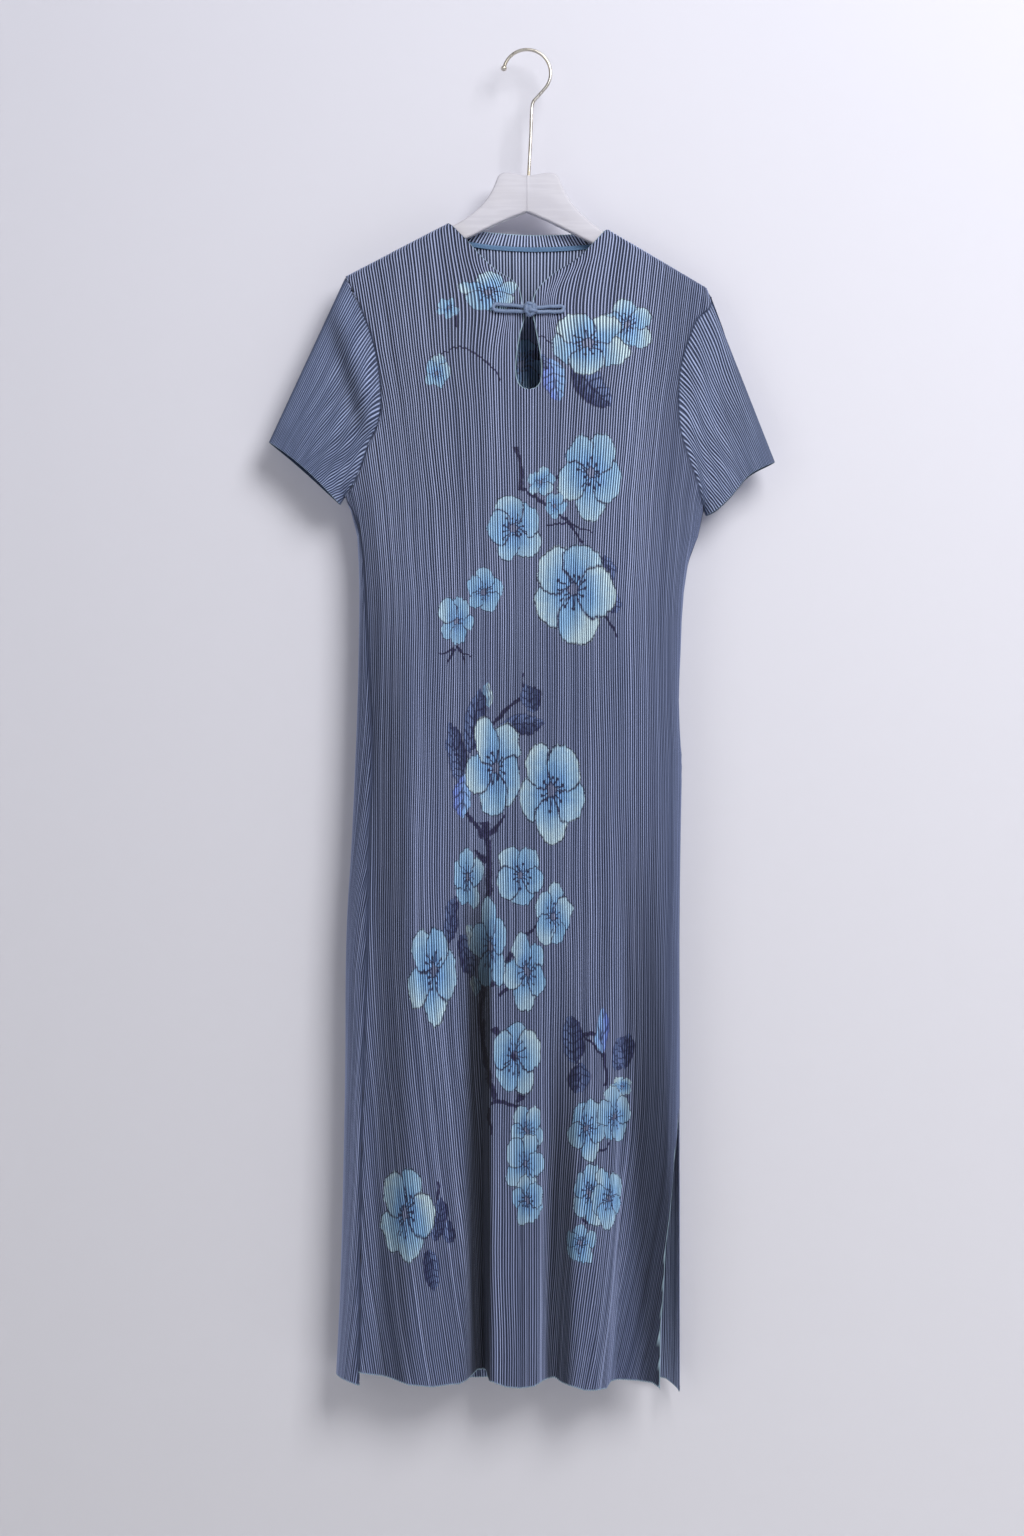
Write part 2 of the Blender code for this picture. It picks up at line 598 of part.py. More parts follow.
# ---------------------------------------------------------------- hanger
# Outlines of the two halves, from the middle of the top round to the middle of the underside.
# columns: x, z
BOARD_LEFT = (
    (0, -125.5), (-28, -125), (-30, -127), (-33, -136), (-38, -145.5), (-44, -153.5), (-51, -160.5),
    (-60, -167.5), (-69.5, -173.5), (-82, -178.6), (-120, -198.4), (-160, -219), (-168, -224.5),
    (-171, -230), (-169.5, -236), (-163, -238), (-110, -212.5), (-61, -189), (-14, -167), (0, -162),
)
BOARD_RIGHT = (
    (0, -125.5), (31, -126), (33, -128), (35.5, -136), (39.5, -145), (46, -154.5), (54, -163.5),
    (64, -172.5), (76, -181.5), (90, -188.5), (120, -205.7), (160, -230.3), (168, -236.5),
    (170.5, -242), (168, -248), (161, -249), (110, -218.5), (65, -193.5), (14, -168), (0, -162),
)
BOARD_SPLIT = 0.15  # each half stays this far from the glue line
BOARD_ROUND = 2.2
BOARD_TOP_Z = -125.5
HOOK_HOLE_DEEP = 24.0
HOOK_HOLE_ROOM = 0.3  # round the wire
STEM_X = 1.7


def board(name, outline, side):
    shape = bmesh.new()
    front = [
        shape.verts.new((side * max(abs(x), BOARD_SPLIT) * MM, -HANGER_THICK / 2 * MM, z * MM))
        for x, z in outline
    ]
    face = shape.faces.new(front)
    grown = bmesh.ops.extrude_face_region(shape, geom=[face])
    moved = [v for v in grown["geom"] if isinstance(v, bmesh.types.BMVert)]
    bmesh.ops.translate(shape, vec=(0, HANGER_THICK * MM, 0), verts=moved)
    bmesh.ops.recalc_face_normals(shape, faces=shape.faces)
    mesh = bpy.data.meshes.new(name)
    shape.to_mesh(mesh)
    shape.free()
    made = put(name, mesh, WOOD)
    edge = made.modifiers.new("rounded edges", "BEVEL")
    edge.width = BOARD_ROUND * MM
    edge.segments = 2
    edge.limit_method = "ANGLE"
    hole = made.modifiers.new("hook hole", "BOOLEAN")
    hole.operation = "DIFFERENCE"
    hole.object = hook_hole
    return made


shape = bmesh.new()
hole_radius = (WIRE / 2 + HOOK_HOLE_ROOM) * MM
bmesh.ops.create_cone(
    shape, cap_ends=True, segments=24, radius1=hole_radius, radius2=hole_radius, depth=2 * HOOK_HOLE_DEEP * MM
)
mesh = bpy.data.meshes.new("hook_hole")
shape.to_mesh(mesh)
shape.free()
hook_hole = bpy.data.objects.new("hook_hole", mesh)
hook_hole.location = (STEM_X * MM, 0.0, BOARD_TOP_Z * MM)
hook_hole.hide_render = True
hook_hole.display_type = "WIRE"
cutters.objects.link(hook_hole)
board("hanger_left", BOARD_LEFT, -1)
board("hanger_right", BOARD_RIGHT, 1)

# ---------------------------------------------------------------- hook
# The wire runs from the ball over the top of a circle, turns back and goes straight down.
HOOK_CENTRE_Z = -(HOOK_RADIUS - WIRE / 2)
TIP_ANGLE = 168.0
WIRE_FROM, WIRE_TO = 159.5, -42.0
turn = np.radians(np.linspace(WIRE_FROM, WIRE_TO, 26))
loop = np.stack([HOOK_RADIUS * np.cos(turn), HOOK_CENTRE_Z + HOOK_RADIUS * np.sin(turn)], axis=1)
bend = through(
    ((loop[-1][0], loop[-1][1]), (11.0, -45.5), (6.3, -51.0), (5.0, -56.0), (4.6, -62.0)),
    np.linspace(0.12, 1, 9),
)
STEM_END_Z = BOARD_TOP_Z - HOOK_HOLE_DEEP + 1.0
stem = np.array([(4.0, -80.0), (2.8, -105.0), (STEM_X, -125.0), (STEM_X, STEM_END_Z)])
route = np.concatenate([loop, bend, stem])
cord("hook_wire", np.insert(route, 1, 0.0, axis=1), WIRE, STEEL)

shape = bmesh.new()
bmesh.ops.create_uvsphere(shape, u_segments=16, v_segments=10, radius=BALL_RADIUS * MM)
mesh = bpy.data.meshes.new("hook_ball")
shape.to_mesh(mesh)
shape.free()
mesh.shade_smooth()
ball = put("hook_ball", mesh, STEEL)
tip = np.radians(TIP_ANGLE)
ball.location = (HOOK_RADIUS * np.cos(tip) * MM, 0.0, (HOOK_CENTRE_Z + HOOK_RADIUS * np.sin(tip)) * MM)
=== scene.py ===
"""A pleated cheongsam dress hung on a wooden hanger: its looks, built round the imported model.

Metres, +Z up, the front faces -Y. Sizes in the tables are millimetres. Left and right are as
seen from the front.
"""

from functools import partial

import bpy
import numpy as np
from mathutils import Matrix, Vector


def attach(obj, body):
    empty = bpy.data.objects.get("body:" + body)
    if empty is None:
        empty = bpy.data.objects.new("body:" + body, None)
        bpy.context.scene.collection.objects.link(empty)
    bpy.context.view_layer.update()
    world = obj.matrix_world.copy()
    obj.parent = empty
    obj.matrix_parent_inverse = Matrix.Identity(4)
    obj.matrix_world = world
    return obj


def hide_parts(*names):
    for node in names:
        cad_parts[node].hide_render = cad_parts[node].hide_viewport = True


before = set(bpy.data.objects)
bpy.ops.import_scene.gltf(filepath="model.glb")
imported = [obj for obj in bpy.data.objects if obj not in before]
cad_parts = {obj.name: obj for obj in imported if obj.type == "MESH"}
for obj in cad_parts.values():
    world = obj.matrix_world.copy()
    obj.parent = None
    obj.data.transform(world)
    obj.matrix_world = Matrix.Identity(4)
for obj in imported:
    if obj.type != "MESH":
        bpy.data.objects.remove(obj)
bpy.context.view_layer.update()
MM = 0.001
BODY = "root"

# ---------------------------------------------------------------- camera
# The camera looks straight at the front of the dress from 2.6 m away, level with the middle of
# its length.
CAMERA_AT = (-0.015, -2.612, -0.720)
CAMERA_AWAY = 2.6
FRAME_TALL = 1.536  # height of the view where the dress hangs
FILM = 36.0
camera = bpy.data.objects.new("camera", bpy.data.cameras.new("camera"))
camera.data.sensor_width = FILM
camera.data.lens = FILM * CAMERA_AWAY / FRAME_TALL
camera.location = CAMERA_AT
camera.rotation_euler = (np.pi / 2, 0.0, 0.0)
bpy.context.scene.collection.objects.link(camera)
bpy.context.scene.camera = camera

# ---------------------------------------------------------------- studio
# A matt pale wall close behind the dress and a pale floor below it. The wall's colour has light
# painted into it: a little lighter at the top and towards the right, where the key light is. The
# wall lets light from behind through and is clear from its own back, so that the back of the dress
# can be lit and seen.
WALL_Y = 0.034
FLOOR_Z = -1.54
STAGE_WIDE = 6.0
# Painted light: the wall's colour is a little lighter at the top, and the factors below make it
# darker to the left and lighter to the right.
WALL_TOP, WALL_BOTTOM = (0.638, 0.633, 0.700), (0.628, 0.618, 0.652)
WALL_FADE = (-1.5, 0.05)  # heights between which the lower colour turns into the upper one
WALL_SIDE_LIGHT = (0.925, 1.035)  # how light the wall is 0.5 m to the left and 0.5 m to the right
FLOOR_GREY = (0.66, 0.67, 0.70)
AIR_LIGHT, AIR_STRENGTH = (0.96, 0.96, 1.0), 0.25
# Soft boxes: the key above on the right, a weaker fill on the left and one behind for the back.
# columns: name, place, aim, width, height, watts
SOFT_BOXES = (
    ("key_light", (1.25, -2.3, 1.15), (0.0, 0.0, -0.5), 1.4, 1.6, 96.0),
    ("fill_light", (-2.0, -2.4, -0.3), (0.0, 0.0, -0.75), 1.6, 2.0, 13.0),
    ("back_light", (0.6, 2.4, 0.3), (0.0, 0.0, -0.6), 1.6, 1.8, 46.0),
)


def stage_plane(name, centre, across, up):
    """A flat rectangle: centre plus or minus half of each of its two sides."""
    centre, across, up = (np.array(v, dtype=float) for v in (centre, across, up))
    ends = ((-1, -1), (1, -1), (1, 1), (-1, 1))
    corners = [tuple(centre + a * across / 2 + b * up / 2) for a, b in ends]
    mesh = bpy.data.meshes.new(name)
    mesh.from_pydata(corners, [], [(0, 1, 2, 3)])
    made = bpy.data.objects.new(name, mesh)
    bpy.context.scene.collection.objects.link(made)
    return made


def new_material(name):
    """A material, its node tree and its Principled shader."""
    made = bpy.data.materials.new(name)
    made.use_nodes = True
    return made, made.node_tree, made.node_tree.nodes["Principled BSDF"]


def set_inputs(made, inputs):
    """Gives a node's sockets, by name or number, their values or other nodes' outputs."""
    for label, value in inputs.items():
        socket = made.inputs[label]
        if isinstance(value, bpy.types.NodeSocket):
            made.id_data.links.new(value, socket)
        else:
            socket.default_value = (*value[:3], 1.0) if socket.type == "RGBA" else value


def node(tree, kind, inputs, **settings):
    """A shader node of a kind with its settings and its inputs."""
    made = tree.nodes.new("ShaderNode" + kind)
    for name, value in settings.items():
        setattr(made, name, value)
    set_inputs(made, inputs)
    return made


def math_node(tree, operation, *values):
    """A Math node. Each value is a number or another node's output."""
    return node(tree, "Math", dict(enumerate(values)), operation=operation).outputs["Value"]


def vector_node(tree, operation, *values, scale=None):
    """A Vector Math node. Each value is a vector or another node's output."""
    inputs = dict(enumerate(values))
    if scale is not None:
        inputs["Scale"] = scale
    return node(tree, "VectorMath", inputs, operation=operation).outputs


def mix_colour(tree, factor, low, high, blend="MIX"):
    """A colour mix. factor, low and high are values or other nodes' outputs."""
    inputs = {"Factor": factor, "A": low, "B": high}
    return node(tree, "Mix", inputs, data_type="RGBA", blend_type=blend).outputs["Result"]


def map_range(tree, value, low, high, to_low=0.0, to_high=1.0, soft=False):
    """value from low..high to to_low..to_high, held at both ends."""
    inputs = {
        "Value": value, "From Min": low, "From Max": high, "To Min": to_low, "To Max": to_high,
    }
    kind = "SMOOTHSTEP" if soft else "LINEAR"
    return node(tree, "MapRange", inputs, interpolation_type=kind).outputs["Result"]


def parts(tree, vector):
    """The X, Y and Z of a vector."""
    return node(tree, "SeparateXYZ", {"Vector": vector}).outputs


def object_place(tree):
    """Where a point is on its piece, in metres."""
    return node(tree, "TexCoord", {}).outputs["Object"]


wall = stage_plane(
    "studio_wall", (0, WALL_Y, FLOOR_Z + STAGE_WIDE / 2), (STAGE_WIDE, 0, 0), (0, 0, STAGE_WIDE)
)
finish, tree, shader = new_material("studio_wall")
place = parts(tree, object_place(tree))
# Painted light: the colour grades from bottom to top and is scaled from left to right.
paint = mix_colour(tree, map_range(tree, place["Z"], *WALL_FADE), WALL_BOTTOM, WALL_TOP)
sideways = map_range(tree, place["X"], -0.5, 0.5, *WALL_SIDE_LIGHT)
graded = vector_node(tree, "SCALE", paint, scale=sideways)["Vector"]
set_inputs(shader, {"Base Color": graded, "Roughness": 0.9, "Specular IOR Level": 0.1})
from_behind = node(tree, "NewGeometry", {}).outputs["Backfacing"]
shadow_ray = node(tree, "LightPath", {}).outputs["Is Shadow Ray"]
seen_through = node(tree, "MixShader", {
    "Fac": math_node(tree, "MAXIMUM", from_behind, shadow_ray),
    1: shader.outputs["BSDF"],
    2: node(tree, "BsdfTransparent", {}).outputs["BSDF"],
})
set_inputs(tree.nodes["Material Output"], {"Surface": seen_through.outputs["Shader"]})
wall.data.materials.append(finish)

floor = stage_plane("studio_floor", (0, 0, FLOOR_Z), (STAGE_WIDE, 0, 0), (0, STAGE_WIDE, 0))
finish, tree, shader = new_material("studio_floor")
set_inputs(shader, {"Base Color": FLOOR_GREY, "Roughness": 0.85})
floor.data.materials.append(finish)

for name, place, aim, wide, tall, watts in SOFT_BOXES:
    light = bpy.data.objects.new(name, bpy.data.lights.new(name, "AREA"))
    light.data.shape = "RECTANGLE"
    light.data.size, light.data.size_y = wide, tall
    light.data.energy = watts
    light.location = place
    light.rotation_euler = (Vector(aim) - Vector(place)).to_track_quat("-Z", "Y").to_euler()
    bpy.context.scene.collection.objects.link(light)

world = bpy.data.worlds.new("studio")
world.use_nodes = True
set_inputs(world.node_tree.nodes["Background"], {"Color": AIR_LIGHT, "Strength": AIR_STRENGTH})
bpy.context.scene.world = world
bpy.context.scene.view_settings.view_transform = "Standard"

# ---------------------------------------------------------------- hanger
# A flat wooden clothes hanger, sawn as two halves that are glued at the middle, rounded at the
# edges and painted white in thin coats, so that the grain still shows. Nothing is printed on it.
BOARD_HALF, BOARD_ROUND = 5.5, 2.4  # half the thickness, and the radius of the edges
BOARD_SPLIT = 0.08  # half the width of the glued joint
JOINT_GROOVE, JOINT_EDGE = 0.12, 0.3  # how far the glued edges are eased back, and how near a face
SHARP_TURN = 0.7  # in radians, past which an edge is not shaded smooth
OUTLINE_POINTS = 150
# Outlines of the two halves, from the top of the joint round to its foot. columns: x, z
HANGER_LEFT = (
    (0, -125.5), (-28, -125), (-33, -136), (-38, -145.5), (-44, -153.5), (-51, -160.5),
    (-60, -167.5), (-69.5, -173.5), (-82, -178.6), (-120, -198.4), (-160, -219), (-168, -224.5),
    (-171, -230), (-169.5, -236), (-163, -238), (-110, -212.5), (-61, -189), (-14, -167), (0, -162),
)
HANGER_RIGHT = (
    (0, -125.5), (31, -126), (35.5, -136), (39.5, -145), (46, -154.5), (54, -163.5), (64, -172.5),
    (76, -181.5), (90, -188.5), (120, -205.7), (160, -230.3), (168, -236.5), (170.5, -242),
    (168, -248), (161, -249), (110, -218.5), (65, -193.5), (14, -168), (0, -162),
)
PAINT_THIN, PAINT_THICK = (0.490, 0.477, 0.530), (0.530, 0.517, 0.570)
PAINT_CLOUD = (0.500, 0.483, 0.515)


def table(rows):
    """Rows of numbers as one array."""
    return np.array(rows, dtype=float)


def smooth(value):
    """0 below 0, 1 above 1 and 3t^2 - 2t^3 between."""
    t = np.clip(value, 0.0, 1.0)
    return t * t * (3.0 - 2.0 * t)


def stacked(*values):
    """Values on one grid, side by side in the last place of one array."""
    return np.stack(np.broadcast_arrays(*values), axis=-1)


def through(rows, share):
    """Points at shares 0 to 1 of the length of a cubic curve through the rows of a table. Its
    slope at each row is that of a parabola through the row and its neighbours."""
    points = table(rows)
    steps = np.linalg.norm(np.diff(points, axis=0), axis=1)
    length = np.concatenate(([0.0], np.cumsum(steps)))
    at = np.asarray(share) * length[-1]
    slopes = np.gradient(points, length, axis=0)
    i = np.clip(np.searchsorted(length, at, side="right") - 1, 0, len(steps) - 1)
    h = steps[i]
    t = ((at - length[i]) / h)[..., None]
    h = h[..., None]
    return (
        points[i] * (1 + 2 * t) * (1 - t) ** 2
        + points[i + 1] * t * t * (3 - 2 * t)
        + slopes[i] * h * t * (1 - t) ** 2
        + slopes[i + 1] * h * t * t * (t - 1)
    )


def grid_faces(rows, columns, round_rows=False, round_columns=False):
    """Quads of a grid whose points are numbered row by row, as an array of four indices each."""
    r, c = np.meshgrid(
        np.arange(rows if round_rows else rows - 1),
        np.arange(columns if round_columns else columns - 1),
        indexing="ij",
    )
    r, c = r.ravel() * columns, c.ravel()
    below, right = (r + columns) % (rows * columns), (c + 1) % columns
    return np.stack([r + c, r + right, below + right, below + c], axis=1)


def piece(name, points, faces, material, slot, *stands_for):
    """A smooth-shaded mesh of points in mm that rides on the body and stands for CAD nodes."""
    mesh = bpy.data.meshes.new(name)
    mesh.from_pydata((np.asarray(points).reshape(-1, 3) * MM).tolist(), [], faces)
    mesh.shade_smooth()
    mesh.materials.append(material)
    made = bpy.data.objects.new(name, mesh)
    bpy.context.scene.collection.objects.link(made)
    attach(made, BODY)
    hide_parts(*stands_for)
    return made


def capped_tube(rows, sides, round_rows=False):
    """Faces of rings of points, with both ends closed unless the rings go round."""
    faces = grid_faces(rows, sides, round_rows, round_columns=True).tolist()
    if not round_rows:
        last = (rows - 1) * sides
        faces += [list(range(sides))[::-1], list(range(last, last + sides))]
    return faces


def rounded_slab(outline, half, radius):
    """A flat board with rounded edges. The outline is carried from the front face to the back
    face along half circles: inset = radius (1 - sin a), y = -+(half - radius) -+ radius cos a."""
    along = np.roll(outline, -1, axis=0) - np.roll(outline, 1, axis=0)
    inward = np.stack([-along[:, 1], along[:, 0]], axis=1)
    inward /= np.linalg.norm(inward, axis=1, keepdims=True)
    turn = np.linspace(0, np.pi / 2, 6)
    inset = radius * (1 - np.sin(turn))
    depth = half - radius + radius * np.cos(turn)
    inset = np.concatenate([inset, inset[::-1]])
    depth = np.concatenate([-depth, depth[::-1]])
    flat = outline[None] + inward[None] * inset[:, None, None]
    points = stacked(flat[..., 0], depth[:, None], flat[..., 1])
    return points, capped_tube(len(inset), len(outline))


def noise(tree, vector, scale, detail=2.0, stretch=(1.0, 1.0, 1.0)):
    """Noise from 0 to 1 at a scale, on a vector that is stretched first."""
    inputs = {"Scale": scale, "Detail": detail}
    inputs["Vector"] = vector_node(tree, "MULTIPLY", vector, stretch)["Vector"]
    return node(tree, "TexNoise", inputs).outputs["Fac"]


def bump(tree, height, strength, distance):
    """A Bump node on a height from 0 to 1 that spans a distance in metres."""
    inputs = {"Height": height, "Strength": strength, "Distance": distance}
    return node(tree, "Bump", inputs).outputs["Normal"]


def white_paint():
    """Thin white paint on wood: grain shows as grey streaks, and the paint is cloudy."""
    made, tree, shader = new_material("white_paint")
    place = object_place(tree)
    grain = noise(tree, place, 60.0, 4.0, (0.35, 1.0, 5.0))
    cloud = noise(tree, place, 22.0, 3.0)
    streaks = map_range(tree, grain, 0.42, 0.66, soft=True)
    colour = mix_colour(tree, streaks, PAINT_THIN, PAINT_THICK)
    set_inputs(shader, {
        "Base Color": mix_colour(tree, map_range(tree, cloud, 0.5, 0.75), colour, PAINT_CLOUD),
        "Roughness": map_range(tree, grain, 0.3, 0.7, 0.42, 0.58),
        "Normal": bump(tree, grain, 0.25, 0.0003),
    })
    return made


paint = white_paint()
for side, rows, turn in (("left", HANGER_LEFT, -1), ("right", HANGER_RIGHT, 1)):
    outline = through(rows, np.linspace(0, 1, OUTLINE_POINTS))
    outline[[0, -1], 0] = turn * BOARD_SPLIT
    outline[:, 0] = turn * np.maximum(turn * outline[:, 0], BOARD_SPLIT)
    points, faces = rounded_slab(outline[::-turn], BOARD_HALF, BOARD_ROUND)
    near_face = np.abs(points[:, [0, -1], 1]) > BOARD_HALF - JOINT_EDGE
    points[:, [0, -1], 0] = turn * (BOARD_SPLIT + JOINT_GROOVE * near_face)
    board = piece(f"hanger_board_{side}", points, faces, paint, "white_wood", f"hanger_{side}")
    board.data.set_sharp_from_angle(angle=SHARP_TURN)

# ---------------------------------------------------------------- hook
# One piece of round steel wire, bent to a hook, plated satin nickel and ended in a small ball,
# screwed into the top of the hanger.
WIRE = 3.4
HOOK_RADIUS = 23.7
HOOK_CENTRE_Z = -(HOOK_RADIUS - WIRE / 2)
HOOK_FROM, HOOK_TO = 166.0, -42.0  # degrees from the right, at the ball and at the neck
HOOK_NECK = (
    (11.0, -45.5), (6.3, -51.0), (5.0, -56.0), (4.6, -62.0), (4.0, -80.0), (2.8, -105.0),
    (1.7, -125.0),
)
HOOK_END = (1.7, -127.5)
BALL_RADIUS = 3.0
BALL_AT = 168.0  # degrees, on the same circle
BALL_RINGS, BALL_SIDES = 15, 28
NICKEL, TARNISH = (0.62, 0.60, 0.57), (0.50, 0.44, 0.34)


def tube(path, radius, sides=16, closed=False):
    """A circle of a radius carried along a path: point = path + radius (cos a across + sin a up),
    where across and up turn with the path and never twist."""
    path = np.asarray(path, dtype=float)
    if closed:
        along = np.roll(path, -1, axis=0) - np.roll(path, 1, axis=0)
    else:
        along = np.gradient(path, axis=0)
    along /= np.linalg.norm(along, axis=1, keepdims=True)
    up = np.zeros_like(along)
    first = np.cross(along[0], (0.0, 1.0, 0.0))
    size = np.linalg.norm(first)
    up[0] = first / size if size > 0.2 else (1.0, 0.0, 0.0)
    for i in range(1, len(path)):
        carried = up[i - 1] - along[i] * (up[i - 1] @ along[i])
        up[i] = carried / np.linalg.norm(carried)
    across = np.cross(along, up)
    turn = np.linspace(0, 2 * np.pi, sides, endpoint=False)[None, :, None]
    points = path[:, None] + (np.cos(turn) * across[:, None] + np.sin(turn) * up[:, None]) * radius
    return points, capped_tube(len(path), sides, closed)


def unit_ball(rings, sides):
    """A ball of radius 1: rings (sin a cos b, sin a sin b, cos a) between two poles."""
    a = np.linspace(0, np.pi, rings + 2)[1:-1, None]
    b = np.linspace(0, 2 * np.pi, sides, endpoint=False)
    points = stacked(np.sin(a) * np.cos(b), np.sin(a) * np.sin(b), np.cos(a)).reshape(-1, 3)
    here = np.arange(sides)
    after, last, pole = (here + 1) % sides, (rings - 1) * sides, rings * sides
    faces = grid_faces(rings, sides, round_columns=True)[:, ::-1].tolist()
    faces += stacked(pole, here, after).tolist()
    faces += stacked(pole + 1, last + after, last + here).tolist()
    return np.concatenate([points, [(0, 0, 1), (0, 0, -1)]]), faces


def satin_nickel():
    """Satin nickel plating, drawn along the wire, with a faint warm tarnish."""
    made, tree, shader = new_material("satin_nickel")
    place = object_place(tree)
    drawn = noise(tree, place, 900.0, 2.0, (1.0, 1.0, 0.15))
    tarnish = map_range(tree, noise(tree, place, 45.0, 3.0), 0.35, 0.7)
    set_inputs(shader, {
        "Base Color": mix_colour(tree, tarnish, NICKEL, TARNISH),
        "Roughness": map_range(tree, drawn, 0.3, 0.7, 0.24, 0.4),
        "Normal": bump(tree, drawn, 0.15, 0.0001),
        "Metallic": 1.0,
    })
    return made


def on_hook(degrees):
    """x and z on the middle of the hook's wire."""
    turn = np.radians(degrees)
    return stacked(HOOK_RADIUS * np.cos(turn), HOOK_CENTRE_Z + HOOK_RADIUS * np.sin(turn))


nickel = satin_nickel()
loop = on_hook(np.linspace(HOOK_FROM, HOOK_TO, 80))
neck = through((tuple(loop[-1]), *HOOK_NECK), np.linspace(0, 1, 60)[1:])
route = np.concatenate([loop, neck, [HOOK_END]])
points, faces = tube(np.insert(route, 1, 0.0, axis=1), WIRE / 2)
piece("hook", points, faces, nickel, "satin_wire", "hook_wire")
ball, ball_faces = unit_ball(BALL_RINGS, BALL_SIDES)
tip = BALL_RADIUS * ball + np.insert(on_hook(BALL_AT), 1, 0.0)
piece("hook_tip", tip, ball_faces, nickel, "satin_wire", "hook_ball")

# ---------------------------------------------------------------- back
# The back of the dress, one length of thin polyester that is heat-set in permanent pleats 2.3 to
# 3.3 mm apart. Its left edge wraps round to the front, where it is seamed; its right edge is
# seamed to the front down to the slit. A short stand of the same cloth finishes the back neck.
# Edges and seams in the front view, from their upper ends. columns: x, z
TOP_FOLD_LEFT = ((-78, -173), (-182, -227), (-259, -393))
TOP_FOLD_RIGHT = ((80, -179), (180, -238), (185, -251), (249, -413))
ARMHOLE_LEFT = (
    (-182, -227), (-174, -244), (-166, -261), (-157, -284), (-151, -306), (-147, -334),
    (-146, -356), (-149, -376), (-157, -393), (-164, -413), (-173, -435), (-183, -448),
)
ARMHOLE_RIGHT = (
    (185, -251), (183, -259), (172, -269), (162, -291), (154, -318), (151.5, -352), (153, -380),
    (160, -405), (170, -433), (177, -459),
)
CUFF_LEFT = ((-259, -393), (-237, -411), (-211, -434), (-187.5, -456))
CUFF_RIGHT = ((249, -413), (224, -426.5), (202, -451), (188, -463), (180, -467))
SIDE_LEFT = (
    (-183, -448), (-178.5, -456), (-173.5, -467), (-169.5, -485), (-168, -512), (-167.5, -550),
    (-168, -593), (-171, -700), (-176, -807), (-179, -852), (-182, -1050), (-187, -1250),
    (-191, -1335),
)
SIDE_RIGHT = (
    (177, -459), (176, -472), (167, -499), (160, -520), (156.5, -550), (154, -600), (152.5, -673),
    (154.5, -700), (154, -780), (153, -852), (153, -1018), (153, -1346),
)
SEAM_LEFT = (
    (-183, -448), (-174, -462), (-166.5, -485), (-163, -512), (-160, -571), (-158, -619),
    (-154, -700), (-157, -780), (-158, -852), (-164, -1050), (-166.5, -1250), (-167, -1335),
)
# From left to right. columns: x, z
STAND_SEAM = (
    (-91, -179.75), (-82, -184.5), (-70, -189.5), (-50, -193.5), (0, -197), (50, -196), (70, -194),
    (84, -190.5), (94, -187.26),
)
STAND_TOP = (
    (-78, -173), (-64, -176.5), (-40, -179.5), (0, -182), (40, -182), (66, -180.5), (80, -179),
)
HEM_BACK = (
    (-191, -1327), (-170, -1333), (-120, -1336), (-60, -1338), (0, -1336), (60, -1338),
    (120, -1336), (140, -1338), (153, -1346),
)
CENTRE_X = 2.0
HEM_Z = -1335.0
SHOULDER_HALF = 9.0  # depth from the middle of the dress to a layer at the shoulders
FRONT_FULLNESS, BACK_FULLNESS, HEM_FULLNESS = 15.0, 9.0, 6.0  # by which it grows further down
FULL_AT, CHEST_Z = 170.0, -400.0  # distance below the shoulder fold, and height to grow from
SHOULDER_ROUND, SIDE_ROUND = 9.0, 26.0  # reach of the round at the folds
# Folds of the hanging cloth. + is a trough. columns: x at the hem, x at its upper end, z of its
# upper end, width to the left, width to the right, depth
FRONT_FOLDS = (
    (-62, -60, -800, 16, 10, -4.0), (-43, -48, -780, 24, 8, 19.0), (8, 4, -950, 20, 12, -5.0),
    (27, 22, -1000, 18, 20, 13.0), (66, 72, -780, 24, 15, -7.0), (90, 108, -640, 13, 50, 11.0),
    (-140, -134, -640, 14, 18, 4.0),
)
BACK_FOLDS = (
    (-120, -110, -760, 26, 20, -8.0), (-78, -80, -700, 20, 20, 4.0), (-15, -8, -820, 22, 30, -9.0),
    (48, 40, -700, 22, 18, 4.0), (100, 95, -900, 26, 20, -7.0),
)
# Soft dents. columns: x, z, x, z of its two ends, width, depth with + for a trough
FRONT_DENTS = (
    (-191, -292, -166, -386, 9, 4.2), (-172, -264, -153, -368, 8, -2.2),
    (-134, -668, -142, -890, 8, 2.2), (-140, -905, -146, -1180, 8, 1.4),
    (108, -660, 100, -1000, 9, 2.0), (84, -800, 80, -1100, 8, -1.6),
    (148, -540, 146, -900, 6, -1.0), (-20, -560, -24, -760, 16, 1.2), (40, -640, 44, -800, 14, 1.0),
    (-100, -700, -96, -1250, 12, -1.4), (-75, -900, -80, -1300, 9, 1.2),
    (-8, -980, -10, -1300, 8, -1.4), (50, -1050, 46, -1320, 7, -1.6),
    (110, -1050, 106, -1320, 10, -1.6), (125, -1100, 119, -1320, 7, 1.6),
    (-60, -250, -48, -330, 12, 0.9), (90, -230, 70, -400, 14, 0.9), (186, -300, 196, -400, 8, 1.6),
    (214, -340, 226, -410, 7, -1.0),
)
BACK_DENTS = (
    (-184, -320, -162, -390, 9, 2.2), (184, -310, 166, -390, 9, 2.2),
    (-60, -300, -40, -620, 16, 1.6), (70, -320, 60, -700, 18, 1.6),
    (-140, -600, -136, -1000, 9, 2.0), (0, -560, 10, -900, 20, -1.6),
    (126, -640, 128, -1050, 9, 2.0), (-48, -1000, -44, -1300, 9, -1.6),
    (20, -1100, 24, -1310, 9, 1.8),
)
# Light down the length of the dress. columns: height below the hook, share
DOWN_LIGHT = ((170, 0.92), (320, 0.92), (520, 1.08), (760, 1.13), (1000, 1.12), (1340, 1.10))
# Light across the front. columns: x where it starts, x where it is full, height where it starts,
# height where it is full, share added
ACROSS_LIGHT = ((-20, -80, -560, -440, -0.065), (50, 100, -880, -730, 0.075))
